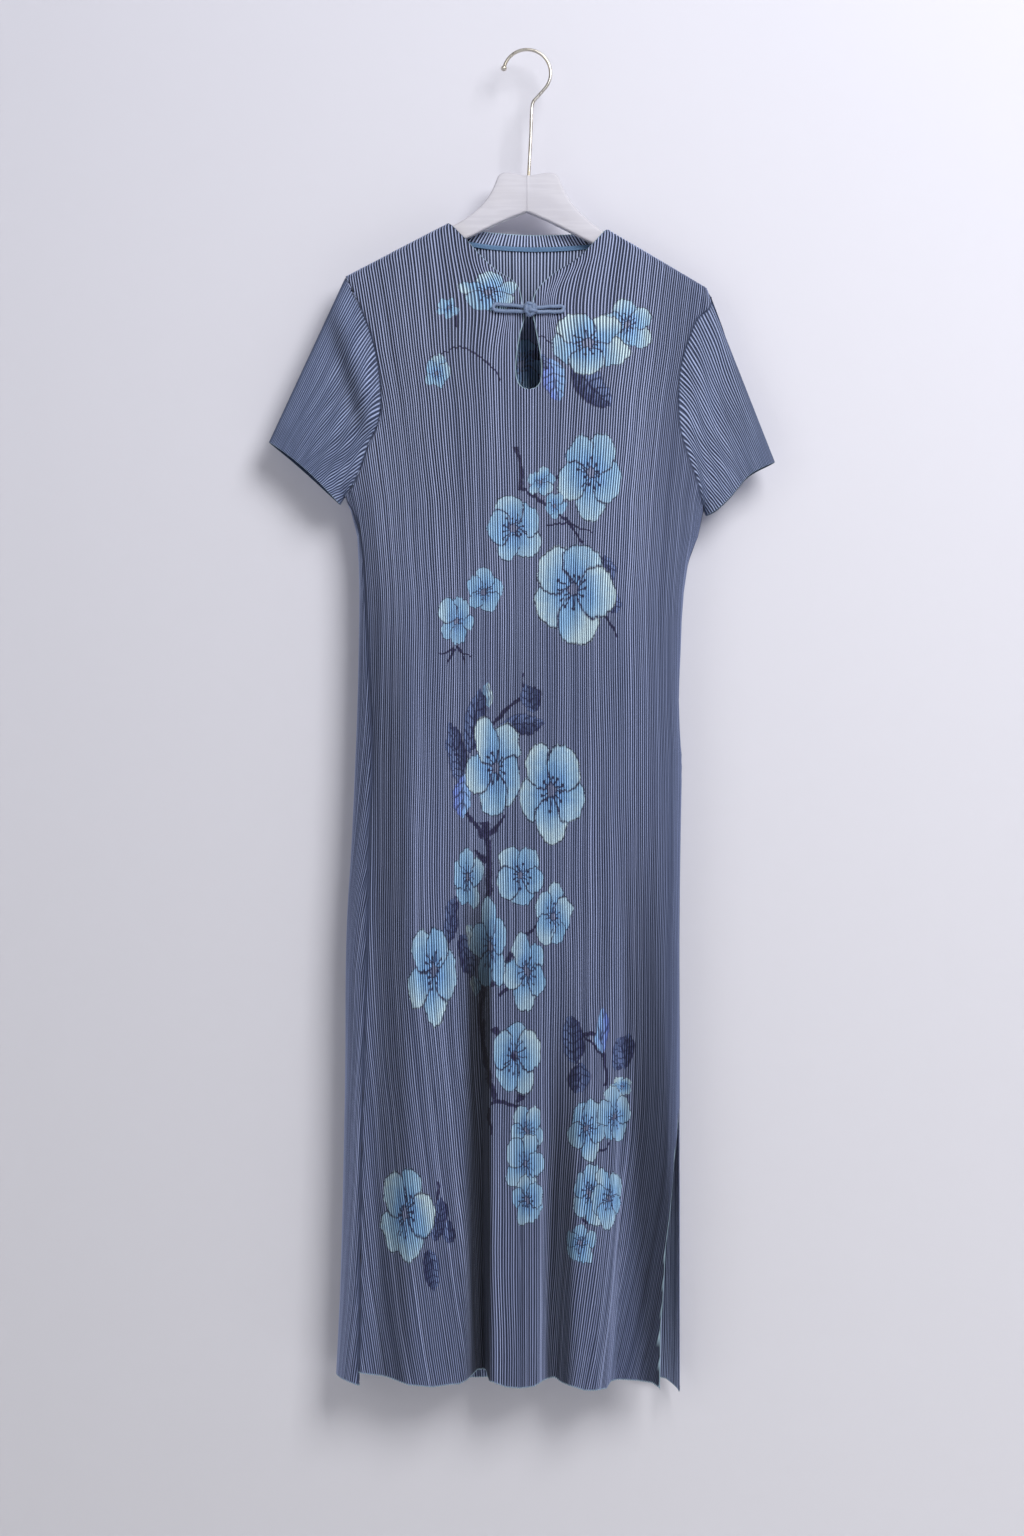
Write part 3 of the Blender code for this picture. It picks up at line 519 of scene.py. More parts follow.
# Shade that gathers in the long folds of the front. columns: x at the hem, x at its upper end, z
# of its upper end, z at which it is full, width to the left, width to the right, how dark
FRONT_SHADE = (
    (-43, -44, -770, -930, 27, 13, 0.87), (31, 42, -840, -1180, 22, 20, 0.70),
    (136, 112, -680, -1150, 36, 24, 0.62), (-136, -143, -400, -700, 20, 30, 0.42),
    (-10, -10, -560, -640, 30, 30, 0.10),
)
# Pleat pitch in mm along the cloth at heights. columns: z, pitch
PITCH = (
    (-1345, 2.5), (-900, 2.35), (-700, 2.3), (-560, 2.25), (-452, 2.4), (-352, 2.65), (-302, 2.85),
    (-222, 3.1), (-170, 3.3),
)
PHASES = (0.0, 0.27, 0.5, 0.73)  # of the columns of points over one pleat, from trough to trough
CREST_PULL = (0.0, 1.1, 1.0, 0.9)  # how far each column moves with an uneven crest
UNEVEN_WIDTH, UNEVEN_CREST, UNEVEN_DEPTH = 0.16, 0.08, 0.28
PLEAT_HALF = 1.0  # half the depth of a pleat of the full pitch
PLEAT_FULL = 3.0  # the full pitch
CLOTH = 0.4  # thickness of the polyester
SEAM_FADE = 3.0  # how near a seam the pleats are pressed flat
SEAM_DIP, SEAM_DIP_WIDE = 0.6, 1.7
FREE_FLAT, SEAM_FLAT = 0.45, 0.1  # how much of its depth a pleat keeps at a free and a sewn edge
TRIM_WIDE = 1.6  # of the overlocked edge
PRINT_SLIP = 2.2  # how far the print slips between one pleat and the next
REVERSE_SLOT = 40  # more than any piece has, so that the reverse takes the last material
EDGE_ROWS = (0.0, 0.4, 1.4, 3.2, 6.0, 9.5)  # depths below the upper edge of the first rows
HEM_ROWS = (6.0, 5.0, 3.0, 0.8, 0.0)
FREE_Z = -266.0  # below this the rows lie level
CLOSER_FROM, CLOSER_SOFT = 100.0, 25.0
FOLDS_TAKE_UP, FOLDS_FROM, FOLDS_OVER = 0.9, -640.0, 450.0  # more cloth in the folds than shows
LOOSE, LOOSE_FROM, LOOSE_OVER = 0.7, -560.0, 500.0  # how much more pleats stray below the waist
SLOW_STRAY, QUICK_STRAY, SHARED_STRAY = 0.05, 0.02, 0.16  # of the pleat lines, in pleats
DRAWN_IN, DRAWN_Z = 0.34, -256.0  # the frog draws the pleats of the front in at its height
DRAWN_HALF_X, DRAWN_HALF_Z = 55.0, 40.0
DRAWN_FROM, DRAWN_OVER = 2.0, 30.0  # but not at the edge of the neck
LEAST_DEPTH, WAVE_DEPTH = 0.86, 0.24  # of a pleat, which changes in slow waves
LOWER_SHARE, LOWER_BY, LOWER_FROM = 0.16, 0.4, -620.0  # some pleats sink below the waist
FLATTER_BY, FLATTER_FROM, CLOSER_FLATTER = 0.2, -430.0, 0.8  # and all lie flatter further down
DEPTH_OVER = 250.0  # height over which such a change comes in


def line_of(rows):
    """Ninety points on the curve through a table's rows."""
    return through(rows, np.linspace(0, 1, 90))


def x_at(line, z):
    """x of a line that runs downward, at a height."""
    return np.interp(-np.asarray(z, dtype=float), -line[:, 1], line[:, 0])


def z_at(rows, x):
    """Height of a hem or a neckline at an x."""
    return np.interp(x, *table(rows).T)


def distance(line, x, z):
    """Shortest distance in the front view to a chain of points: least over its segments of the
    distance to the nearest point of the segment."""
    nearest = np.full(np.shape(x), np.inf)
    for a, b in zip(line[:-1], line[1:]):
        run = b - a
        share = np.clip(((x - a[0]) * run[0] + (z - a[1]) * run[1]) / (run @ run), 0, 1)
        away = np.hypot(x - a[0] - share * run[0], z - a[1] - share * run[1])
        nearest = np.minimum(nearest, away)
    return nearest


def folded(folds, x, z):
    """Sum of the long folds: depth * down^1.3 * smooth(1 - |x - middle| / width)."""
    total = np.zeros(np.shape(x))
    for hem_x, top_x, top_z, left, right, depth in folds:
        down = np.clip((top_z - z) / (top_z - HEM_Z), 0.0, 1.2)
        middle = top_x + (hem_x - top_x) * down
        width = np.where(x < middle, left, right)
        total = total + depth * down**1.3 * smooth(1.0 - np.abs(x - middle) / width)
    return total


def dented(dents, x, z):
    """Sum of the soft dents: depth * exp(-(distance / width)^2) from short lines, which fade over
    the last third towards either end."""
    total = np.zeros(np.shape(x))
    for x0, z0, x1, z1, width, depth in dents:
        away = distance(table(((x0, z0), (x1, z1))), x, z)
        run = (x1 - x0) ** 2 + (z1 - z0) ** 2
        share = ((x - x0) * (x1 - x0) + (z - z0) * (z1 - z0)) / run
        fade = smooth((0.5 - np.abs(share - 0.5)) / 0.33)
        total = total + depth * fade * np.exp(-((away / width) ** 2))
    return total


TOP_FOLDS = (table(TOP_FOLD_LEFT), table(TOP_FOLD_RIGHT))
SIDE_FOLDS = tuple(
    np.concatenate([
        table(cuff[-1:]), through(side, np.linspace(0, 1, 60)), table(side[-1:]) - (0, 60),
    ])
    for cuff, side in ((CUFF_LEFT, SIDE_LEFT), (CUFF_RIGHT, SIDE_RIGHT))
)


def layer_depth(x, z, fullness):
    """Depth of a layer away from its folds, and the quarter circle by which it rises from them:
    sqrt(1 - (1 - distance / reach)^2)."""
    top, side = (
        np.minimum(*(distance(line, x, z) for line in lines)) for lines in (TOP_FOLDS, SIDE_FOLDS)
    )
    full = SHOULDER_HALF + fullness * smooth(top / FULL_AT)
    full = full + HEM_FULLNESS * smooth((CHEST_Z - z) / (CHEST_Z - HEM_Z))
    rise, edge = (
        np.sqrt(1.0 - (1.0 - np.clip(away / reach, 0.0, 1.0)) ** 2)
        for away, reach in ((top, SHOULDER_ROUND), (side, SIDE_ROUND))
    )
    return full, rise * edge


def laid_shade(bands, x, z):
    """How much light is left: DOWN_LIGHT at the height, times the product over the bands of
    1 - dark * down * min(1, 1.7 smooth(1 - |x - middle| / width)), and on the front the product
    of 1 + share * across * up for ACROSS_LIGHT."""
    light = np.interp(-z, *table(DOWN_LIGHT).T)
    for start_x, full_x, start_z, full_z, share in ACROSS_LIGHT if bands else ():
        across = smooth((x - start_x) / (full_x - start_x))
        light = light * (1.0 + share * (across * smooth((z - start_z) / (full_z - start_z))))
    for hem_x, top_x, top_z, full_z, left, right, dark in bands:
        middle = top_x + (hem_x - top_x) * np.clip((top_z - z) / (top_z - HEM_Z), 0, 1)
        near = smooth(1.0 - np.abs(x - middle) / np.where(x < middle, left, right))
        down = smooth((top_z - z) / (top_z - full_z))
        light = light * (1.0 - dark * down * np.minimum(1.0, 1.7 * near))
    return light


def front_y(x, z):
    """Depth of the front at a place in the front view, before it is pleated."""
    full, edge = layer_depth(x, z, FRONT_FULLNESS)
    return -(full - folded(FRONT_FOLDS, x, z) - dented(FRONT_DENTS, x, z)) * edge


def back_y(x, z):
    """Depth of the back at a place in the front view, before it is pleated."""
    full, edge = layer_depth(x, z, BACK_FULLNESS)
    return (full - folded(BACK_FOLDS, x, z) - dented(BACK_DENTS, x, z)) * edge


def pleat_lines(levels, outer, inner, depth, strip=None, closer=0.0):
    """Where pleat lines run on half a panel. At each level the cloth is followed from the centre
    outward, and line n lies n pitches along it. Returns lookups in line number and level.
    outer and inner are x at each level, depth gives y, and strip is (x at each level, depth) of
    what wraps round past the fold. closer sets the pleats nearer each other by that share where
    they lie more than CLOSER_FROM from the centre."""
    share = np.sin(np.linspace(0, np.pi / 2, 150))
    x = CENTRE_X + (outer - CENTRE_X)[:, None] * share
    y = depth(x, levels[:, None])
    to_fold = x.shape[1]
    if strip:
        wrapped = outer[:, None] + (strip[0] - outer)[:, None] * (1 - share[::-1])[1:]
        x = np.concatenate([x, wrapped], axis=1)
        y = np.concatenate([y, strip[1](wrapped, levels[:, None])], axis=1)
    taken_up = 1.0 + FOLDS_TAKE_UP * smooth((FOLDS_FROM - levels[:, None]) / FOLDS_OVER)
    length = np.hypot(np.diff(x, axis=1), taken_up * np.diff(y, axis=1)).cumsum(axis=1)
    length = np.concatenate([np.zeros((len(levels), 1)), length], axis=1)
    past = np.clip(length - CLOSER_FROM, 0, None)
    length = length + closer * past**2 / (past + CLOSER_SOFT)
    pitch = np.interp(levels, *table(PITCH).T)
    inward = np.array([
        np.interp(abs(i - CENTRE_X), np.abs(r[:to_fold] - CENTRE_X), s[:to_fold])
        for i, r, s in zip(inner, x, length)
    ])
    return {
        "closer": closer, "levels": levels, "x": x, "length": length, "pitch": pitch,
        "in": inward / pitch, "fold": length[:, to_fold - 1] / pitch, "out": length[:, -1] / pitch,
    }


def pleat_columns(count, seed):
    """Line numbers of the columns of points over a number of pleats of uneven width, and for each
    column its height in the pleat's profile, its strength, four random numbers for its slow
    waves, and one for its pleat's tint."""
    dice = np.random.default_rng(seed)
    width = 1.0 + UNEVEN_WIDTH * (dice.random(count) - 0.5)
    edges = np.concatenate([[0.0], np.cumsum(width)]) * count / width.sum()
    crest = 0.5 + UNEVEN_CREST * (dice.random(count) - 0.5)
    within = np.array(PHASES)[None] + (crest - 0.5)[:, None] * CREST_PULL
    number = (edges[:-1, None] + np.diff(edges)[:, None] * within).ravel()
    number = np.append(number, edges[-1])
    height = np.append(np.tile((-1.0, 0.0, 1.0, 0.0), count), -1.0)
    strength = 1.0 - UNEVEN_DEPTH / 2 + UNEVEN_DEPTH * dice.random((count, 4))
    strength = np.append(strength.ravel(), 1.0)
    waves = dice.random((len(number), 4))
    tint = np.append(np.repeat(dice.random(count), 4), 0.5)
    return number, height, strength, waves, tint


def at_level(lines, values, z):
    """A value per level and column, read at a height for each column."""
    at = np.interp(-z, -lines["levels"], np.arange(len(lines["levels"])))
    low = np.clip(at.astype(int), 0, len(lines["levels"]) - 2)
    share = at - low
    column = np.arange(z.shape[-1])
    return values[low, column] * (1 - share) + values[low + 1, column] * share


def strayed(levels, number, waves, seed):
    """Pleat numbers at each level, which stray by slow waves: some of each line's own and one that
    neighbours share. They stray more below the waist. The first line keeps straight."""
    down = levels[:, None]
    own = SLOW_STRAY * np.sin(down / (60 + 160 * waves[:, 0]) + 6.3 * waves[:, 1])
    own = own + QUICK_STRAY * np.sin(down / (22 + 30 * waves[:, 2]) + 6.3 * waves[:, 3])
    shared = np.sin(down / 57 + 0.21 * number + seed) + 0.7 * np.sin(down / 23 - 0.17 * number)
    loose = 1.0 + LOOSE * smooth((LOOSE_FROM - down) / LOOSE_OVER)
    stray = (own + SHARED_STRAY * shared * smooth(number / 8)) * loose
    return number[None] + stray * (number > 1)


def row_heights(rows, upper, low):
    """Heights of a panel's rows of points: near its upper edge, shares of the way down to the
    first level row, the level rows, and near the hem."""
    first, count, steps = rows
    z = [upper - drop for drop in EDGE_ROWS]
    z += [
        (upper - EDGE_ROWS[-1]) * (1 - share) + first * share
        for share in np.linspace(0, 1, count + 1)[1:]
    ]
    z += [np.full(upper.shape, level) for level in steps]
    return np.array(z + [low + rise for rise in HEM_ROWS])


def half_panel(lines, seed, top, rows, hem, free_below, neck_edge=False):
    """Half a panel as a grid of points, row by row. Columns follow the pleat lines and are held
    between the inner and the outer edge. Each comes with its pleat's height and its layer."""
    count = int(np.ceil(lines["out"].max()))
    number, height, strength, waves, tint = pleat_columns(count, seed)
    levels, pitch = lines["levels"], lines["pitch"]
    walked = strayed(levels, number, waves, seed)
    held = np.clip(walked, lines["in"][:, None], lines["out"][:, None])
    x = np.array([
        np.interp(n * p, s, r) for n, p, s, r in zip(held, pitch, lines["length"], lines["x"])
    ])
    upper = top(number, x)
    low = z_at(hem, x[-1]) - 0.5 * height * strength
    z = row_heights(rows, upper, low)
    edge_out, edge_in, fold = (
        at_level(lines, np.broadcast_to(lines[edge][:, None], x.shape), z)
        for edge in ("out", "in", "fold")
    )
    line = at_level(lines, walked, z)
    # Columns that run out past the edge stay at the height of the first one that does.
    beyond = line > edge_out + 0.05
    first_beyond = np.where(beyond.any(axis=1), beyond.argmax(axis=1), z.shape[1] - 1)[:, None]
    past_first = beyond & (np.arange(z.shape[1]) > first_beyond) & (z > FREE_Z)
    z = np.where(past_first, np.take_along_axis(z, first_beyond, axis=1), z)
    x = at_level(lines, x, z)
    pitch = np.interp(-z, -levels, pitch)
    from_out, from_in = (edge_out - line) * pitch, (line - edge_in) * pitch
    if neck_edge:
        near_x, near_z = (x - CENTRE_X) / DRAWN_HALF_X, (z - DRAWN_Z) / DRAWN_HALF_Z
        drawn = np.exp(-(near_z**2) - near_x**2)
        away = smooth((from_in - DRAWN_FROM) / DRAWN_OVER)
        x = x - DRAWN_IN * drawn * (x - CENTRE_X) * away
    free = z < free_below
    left = np.where(free, FREE_FLAT, SEAM_FLAT)
    flat = left + (1 - left) * smooth(from_out / SEAM_FADE)
    flat = flat * ~beyond * np.where(edge_in > 0, smooth(from_in / 1.2), 1.0)
    slow = 0.5 + 0.5 * np.sin(z / (90 + 200 * waves[:, 1]) + 6.3 * waves[:, 0])
    lower = smooth((LOWER_FROM - z) / DEPTH_OVER) * (waves[:, 2] < LOWER_SHARE) * (height < 0)
    relief = height * strength * (LEAST_DEPTH + WAVE_DEPTH * slow) * (1 - LOWER_BY * lower)
    relief = relief * pitch / PLEAT_FULL
    relief = relief * (1.0 - FLATTER_BY * smooth((FLATTER_FROM - z) / DEPTH_OVER))
    closer = CLOSER_FLATTER * lines["closer"] * smooth((line * pitch - CLOSER_FROM) / 60)
    relief = relief * (1.0 - closer)
    dip = np.where(free, 0.0, np.exp(-((np.clip(from_out, 0, None) / SEAM_DIP_WIDE) ** 2)))
    raw = np.minimum(z - low, np.where(free, from_out, np.inf))
    raw = np.minimum(raw, np.where(edge_in > 0, from_in, np.inf))
    if neck_edge:
        on_neck = number < lines["out"][0]
        flat = flat * np.where(on_neck, smooth((upper - z + 0.5) / 2.6), 1.0)
        raw = np.minimum(raw, np.where(on_neck, upper - z + 0.8, np.inf))
    return {
        "x": x, "z": z, "relief": relief * flat, "dip": dip, "tint": tint + np.zeros(x.shape),
        "trim": np.clip(1.0 - np.maximum(raw, 0) / TRIM_WIDE, 0.0, 1.0),
        "wrapped": np.clip(line, edge_in, edge_out) > fold + 1e-6,
    }


def welded(points, faces, values):
    """One point for each place, so that collapsed columns and shared edges join: points that
    agree to a thousandth of a millimetre become one, and quads that lose a corner triangles."""
    _, first, place = np.unique(
        np.round(points, 3), axis=0, return_index=True, return_inverse=True
    )
    faces = place.ravel()[faces]
    same = faces == np.roll(faces, -1, axis=1)
    crossed = (faces[:, 0] == faces[:, 2]) | (faces[:, 1] == faces[:, 3])
    doubles = same.sum(axis=1)
    quads = faces[(doubles == 0) & ~crossed]
    one = (doubles == 1) & ~crossed
    thirds = faces[one][~same[one]].reshape(-1, 3)
    return points[first], quads.tolist() + thirds.tolist(), values[first]


def store(made, name, values):
    """Three numbers at each point of a mesh, as an attribute."""
    made.data.attributes.new(name, "FLOAT_VECTOR", "POINT")
    made.data.attributes[name].data.foreach_set("vector", values.astype(np.float32).ravel())


def pleated_cloth(name, points, faces, values, outward, material, slot, *stands_for):
    """A pleated sheet. Each point moves along the normal of the unpleated surface by its pleat's
    height times PLEAT_HALF, less SEAM_DIP at a seam, and Solidify gives the cloth its thickness.
    values are print x, print z, relief, dip, tint, trim and painted shade, one row per point."""
    points, faces, values = welded(points.reshape(-1, 3), faces, values.reshape(-1, 7))
    smooth_mesh = bpy.data.meshes.new(name + "_unpleated")
    smooth_mesh.from_pydata(points.tolist(), [], faces)
    normal = np.empty(len(points) * 3)
    smooth_mesh.vertex_normals.foreach_get("vector", normal)
    bpy.data.meshes.remove(smooth_mesh)
    normal = normal.reshape(-1, 3)
    if (normal * outward(points)).sum() < 0:
        normal = -normal
        faces = [face[::-1] for face in faces]
    points = points + normal * (values[:, 2] * PLEAT_HALF - values[:, 3] * SEAM_DIP)[:, None]
    made = piece(name, points, faces, material, slot, *stands_for)
    store(made, "lay", values[:, :3])
    # finish holds tint, trim and the painted light and shade of laid_shade.
    store(made, "finish", values[:, 4:7])
    shell = made.modifiers.new("cloth", "SOLIDIFY")
    shell.thickness = CLOTH * MM
    shell.offset = 0.0
    made.data.materials.append(reverse_side)
    shell.material_offset = REVERSE_SLOT
    return made


SOCKET_KINDS = {1: "NodeSocketFloat", 3: "NodeSocketVector", 4: "NodeSocketColor"}


def start_group(name, inputs):
    """A node group with named inputs, each with its starting value, and an output named Colour."""
    group = bpy.data.node_groups.new(name, "ShaderNodeTree")
    for label, value in inputs.items():
        kind = SOCKET_KINDS[np.size(value)]
        socket = group.interface.new_socket(label, in_out="INPUT", socket_type=kind)
        socket.default_value = value
    group.interface.new_socket("Colour", in_out="OUTPUT", socket_type="NodeSocketColor")
    return group, group.nodes.new("NodeGroupInput").outputs, group.nodes.new("NodeGroupOutput")


def pleat_shade():
    """Shared look of the pleated cloth: painted shade in the troughs, painted highlights on the
    crests, and a fine weave with uneven streaks down each pleat."""
    slate = (0.3, 0.3, 0.4, 1.0)
    group, inside, out = start_group("pleat_shade", {
        "Colour": slate, "Relief": 0.0, "Tint": 0.5, "Trim": 0.0, "Shade": 1.0, "Trough": slate,
        "Crest": slate, "Crest light": 0.5,
    })
    group.interface.new_socket("Weave", in_out="OUTPUT", socket_type="NodeSocketFloat")
    m, ramp = partial(math_node, group), partial(map_range, group)
    place = object_place(group)
    streak = noise(group, place, 240.0, 2.0, (1.0, 1.0, 0.06))
    # deep and high mark the troughs and the crests, where shade and a highlight are painted.
    deep = ramp(inside["Relief"], -0.25, 0.55, 1.0, 0.0, soft=True)
    high = ramp(inside["Relief"], 0.15, 0.75, soft=True)
    lift = m("MULTIPLY_ADD", streak, 0.3, 0.85)
    lift = m("MULTIPLY", lift, ramp(inside["Tint"], 0.0, 1.0, 0.94, 1.06))
    # Painted light and shade laid on from the Shade attribute.
    lift = m("MULTIPLY", lift, inside["Shade"])
    pale = node(group, "RGBToBW", {"Color": inside["Colour"]}).outputs["Val"]
    plain = ramp(pale, 0.15, 0.36, 1.0, 0.42)
    not_ink = ramp(pale, 0.03, 0.11, 0.12, 1.0)
    # Painted highlight: the crests are screened towards the Crest colour and brightened by Crest
    # light, less on pale print and not on ink.
    crest = m("MULTIPLY", high, not_ink)
    crest_highlight = mix_colour(group, crest, inside["Colour"], inside["Crest"], "SCREEN")
    gain = m("MULTIPLY", inside["Crest light"], m("MULTIPLY", high, plain))
    lift = m("MULTIPLY", lift, m("ADD", gain, 1.0))
    lifted = vector_node(group, "SCALE", crest_highlight, scale=lift)["Vector"]
    # Painted shade: the troughs are darkened towards the Trough colour, less on pale print.
    dark = m("MULTIPLY", deep, m("MULTIPLY_ADD", streak, 0.4, 0.7))
    dark = m("MULTIPLY", dark, ramp(plain, 0.2, 1.0, 0.72, 1.0))
    shaded = mix_colour(group, dark, lifted, inside["Trough"], "MULTIPLY")
    edge = ramp(inside["Trim"], 0.35, 0.7, 0.0, 0.75)
    set_inputs(out, {
        "Colour": mix_colour(group, edge, shaded, EDGE_PALE),
        "Weave": noise(group, place, 2600.0, 1.0),
    })
    return group


def attribute(tree, name):
    """An attribute stored on the mesh, three numbers at each point."""
    return node(tree, "Attribute", {}, attribute_name=name).outputs["Vector"]


def pleated_polyester(name, colour, crest_light, painted=None, turned=False):
    """Heat-set polyester: a smooth dull-satin crepe, with painted shade in its troughs and a
    painted highlight on its crests of strength crest_light. painted, if given, draws the print over
    the colour and returns the result. turned is the side on which troughs are crests."""
    made, tree, shader = new_material(name)
    lay = attribute(tree, "lay")
    # shade is painted light and shade, from laid_shade.
    tint, trim, shade = parts(tree, attribute(tree, "finish"))
    look = node(tree, "Group", {
        "Colour": painted(tree, lay, colour) if painted else colour,
        "Relief": math_node(tree, "MULTIPLY", parts(tree, lay)["Z"], -1.0 if turned else 1.0),
        "Tint": tint, "Trim": trim, "Shade": shade, "Trough": TROUGH_SHADE, "Crest": CREST_HIGHLIGHT,
        "Crest light": crest_light,
    }, node_tree=PLEAT_SHADE).outputs
    set_inputs(shader, {
        "Base Color": look["Colour"], "Normal": bump(tree, look["Weave"], 0.3, 0.0002),
        "Roughness": 0.5, "Specular IOR Level": 0.22, "Sheen Weight": 0.08, "Sheen Roughness": 0.4,
    })
    return made


def joined(halves, bands):
    """Two half panels as one list of points, faces and values. They share their centre column
    wherever both reach it, and the print slips a little from pleat to pleat."""
    points, faces, values, start = [], [], [], 0
    for turn, half, y in halves:
        x, z, tint = half["x"], half["z"], half["tint"]
        faces.append(start + grid_faces(*x.shape)[:, ::turn])
        points.append(stacked(x, y, z).reshape(-1, 3))
        print_z, shade = z + (tint - 0.5) * PRINT_SLIP, laid_shade(bands, x, z)
        rows = stacked(x, print_z, half["relief"], half["dip"], tint, half["trim"], shade)
        values.append(rows.reshape(-1, 7))
        start += x.size
    return np.concatenate(points), np.concatenate(faces), np.concatenate(values)


# columns: shoulder fold, z of its lower end, armhole, z of its lower end
HALVES = {
    "left": (TOP_FOLD_LEFT, -227.0, ARMHOLE_LEFT, -448.0),
    "right": (TOP_FOLD_RIGHT, -251.0, ARMHOLE_RIGHT, -459.0),
}
FLOOR_LEVEL = -2000.0  # below every hem


def levels_of(side):
    """Heights at which half a panel is measured, from the top of its shoulder fold: 2 mm apart at
    first, then 5 mm."""
    top_z = HALVES[side][0][0][1]
    return np.concatenate([np.arange(top_z, -349.0, -2.0), np.arange(-349.0, -1352.0, -5.0)])


def outer_edge(levels, side, *below):
    """x of a panel's outer edge at each level: the shoulder fold, the armhole, and then lines in
    turn, each with the height that it reaches down to."""
    fold, fold_end, armhole, armhole_end = HALVES[side]
    x, start = np.empty(len(levels)), np.inf
    for line, end in ((table(fold), fold_end), (line_of(armhole), armhole_end), *below):
        on = (levels <= start) & (levels >= end)
        x[on] = x_at(line, levels[on])
        start = end
    return x


def shoulder_top(lines, number, side):
    """Height at which pleat lines leave the shoulder fold."""
    on = lines["levels"] >= HALVES[side][1] - 1e-6
    return np.interp(number, lines["out"][on], lines["levels"][on])


BACK_STEPS = np.concatenate([
    np.linspace(FREE_Z, -343, 7)[1:], np.linspace(-343, -372, 3)[1:],
    np.linspace(-372, -462, 19)[1:], np.linspace(-462, -1308, 34)[1:],
])
# The reverse is lighter than the face: partly the cloth's own lighter back, partly painted light
# for the inside of the dress, which lies in shade.
SLATE, SLATE_REVERSE = (0.105, 0.131, 0.230), (0.150, 0.185, 0.295)
# Painted shade: the colour by which the troughs are darkened.
TROUGH_SHADE = (0.05, 0.07, 0.12)  # by which the troughs are darkened
# Painted highlight on the crests: its colour, and how strongly it brightens them.
CREST_HIGHLIGHT, CREST_LIGHT = (0.066, 0.064, 0.060), 1.35
EDGE_PALE = (0.32, 0.45, 0.53)
PLEAT_SHADE = pleat_shade()
plain_pleats = pleated_polyester("plain_pleats", SLATE, CREST_LIGHT)
reverse_side = pleated_polyester("reverse_side", SLATE_REVERSE, CREST_LIGHT, turned=True)

back_halves = []
for side, turn, seam_end in (("left", 1, STAND_SEAM[0]), ("right", -1, STAND_SEAM[-1])):
    levels = levels_of(side)
    if side == "left":
        outer = outer_edge(levels, side, (line_of(SIDE_LEFT), FLOOR_LEVEL))
        on_side = levels < HALVES[side][3]
        seam = np.where(on_side, x_at(line_of(SEAM_LEFT), levels), outer)
        strip = (np.maximum(seam, outer), front_y)
    else:
        outer = outer_edge(levels, side, (line_of(SIDE_RIGHT), FLOOR_LEVEL))
        strip = None
    lines = pleat_lines(levels, outer, np.full(len(levels), CENTRE_X), back_y, strip)
    seam_number = np.interp(-seam_end[1], -levels, lines["out"])

    def back_top(number, x):
        """Upper edge of the back: the seam of the stand, and outside it the shoulder fold."""
        at_seam = z_at(STAND_SEAM, x[np.abs(levels + 195.0).argmin()])
        return np.where(number > seam_number, shoulder_top(lines, number, side), at_seam)

    half = half_panel(lines, 10 + turn, back_top, (FREE_Z, 6, BACK_STEPS), HEM_BACK, FLOOR_LEVEL)
    place = half["x"], half["z"]
    back_halves.append((turn, half, np.where(half["wrapped"], front_y(*place), back_y(*place))))

back = pleated_cloth(
    "back", *joined(back_halves, ()), lambda points: (0, 1, 0), plain_pleats, "pleats", "back_panel"
)

# ---------------------------------------------------------------- back stand
# A low stand of the same pleated cloth behind the neck, overlocked along its top edge and sewn
# to the back along the neck seam.
STAND_PLEATS = 56
STAND_ROWS = (0.0, 0.06, 0.16, 0.3, 0.45, 0.6, 0.75, 0.88, 0.96, 1.0)
number, height, strength, _, tint = pleat_columns(STAND_PLEATS, 31)
share = number / number[-1]
up = table(STAND_ROWS)[:, None]
flat = through(STAND_SEAM, share) * (1 - up[..., None]) + through(STAND_TOP, share) * up[..., None]
x, z = flat[..., 0], flat[..., 1]
relief = height * strength * (0.15 + 0.85 * smooth(up / 0.3))
relief = relief * smooth(np.minimum(share, 1 - share) / 0.03)
z = z + 0.35 * relief * up**4
rise = z - z[:1]
trim = np.clip(1.0 - (rise[-1:] - rise) / TRIM_WIDE, 0, 1)
dip = np.exp(-((rise / 1.2) ** 2))
stand = pleated_cloth(
    "back_stand_cloth", stacked(x, back_y(x, z), z), grid_faces(*x.shape),
    stacked(x, z, relief, dip, tint, trim, 1.0), lambda points: (0, 1, 0), plain_pleats, "pleats",
    "back_stand",
)

# ---------------------------------------------------------------- neck tape
# A narrow woven tape of blue twill that covers the neck seam inside the back and is stitched
# down along both of its edges.
TAPE_ENDS = (0.09, 0.91)  # shares of the seam's length
TAPE_HALF, TAPE_THICK = 2.3, 1.0
TAPE_GAP = 2.0  # from the back's middle to the tape's
TAPE_BLUE, TAPE_BLUE_DARK = (0.085, 0.190, 0.345), (0.050, 0.115, 0.235)
TAPE_STITCH = (0.16, 0.27, 0.42)
TAPE_STITCH_AT = 1.7  # from the tape's middle


def run_and_way(tree):
    """How far along a run and how far across it a point lies, in mm, from the UV map."""
    split = parts(tree, node(tree, "UVMap", {}, uv_map="run").outputs["UV"])
    return split["X"], split["Y"]


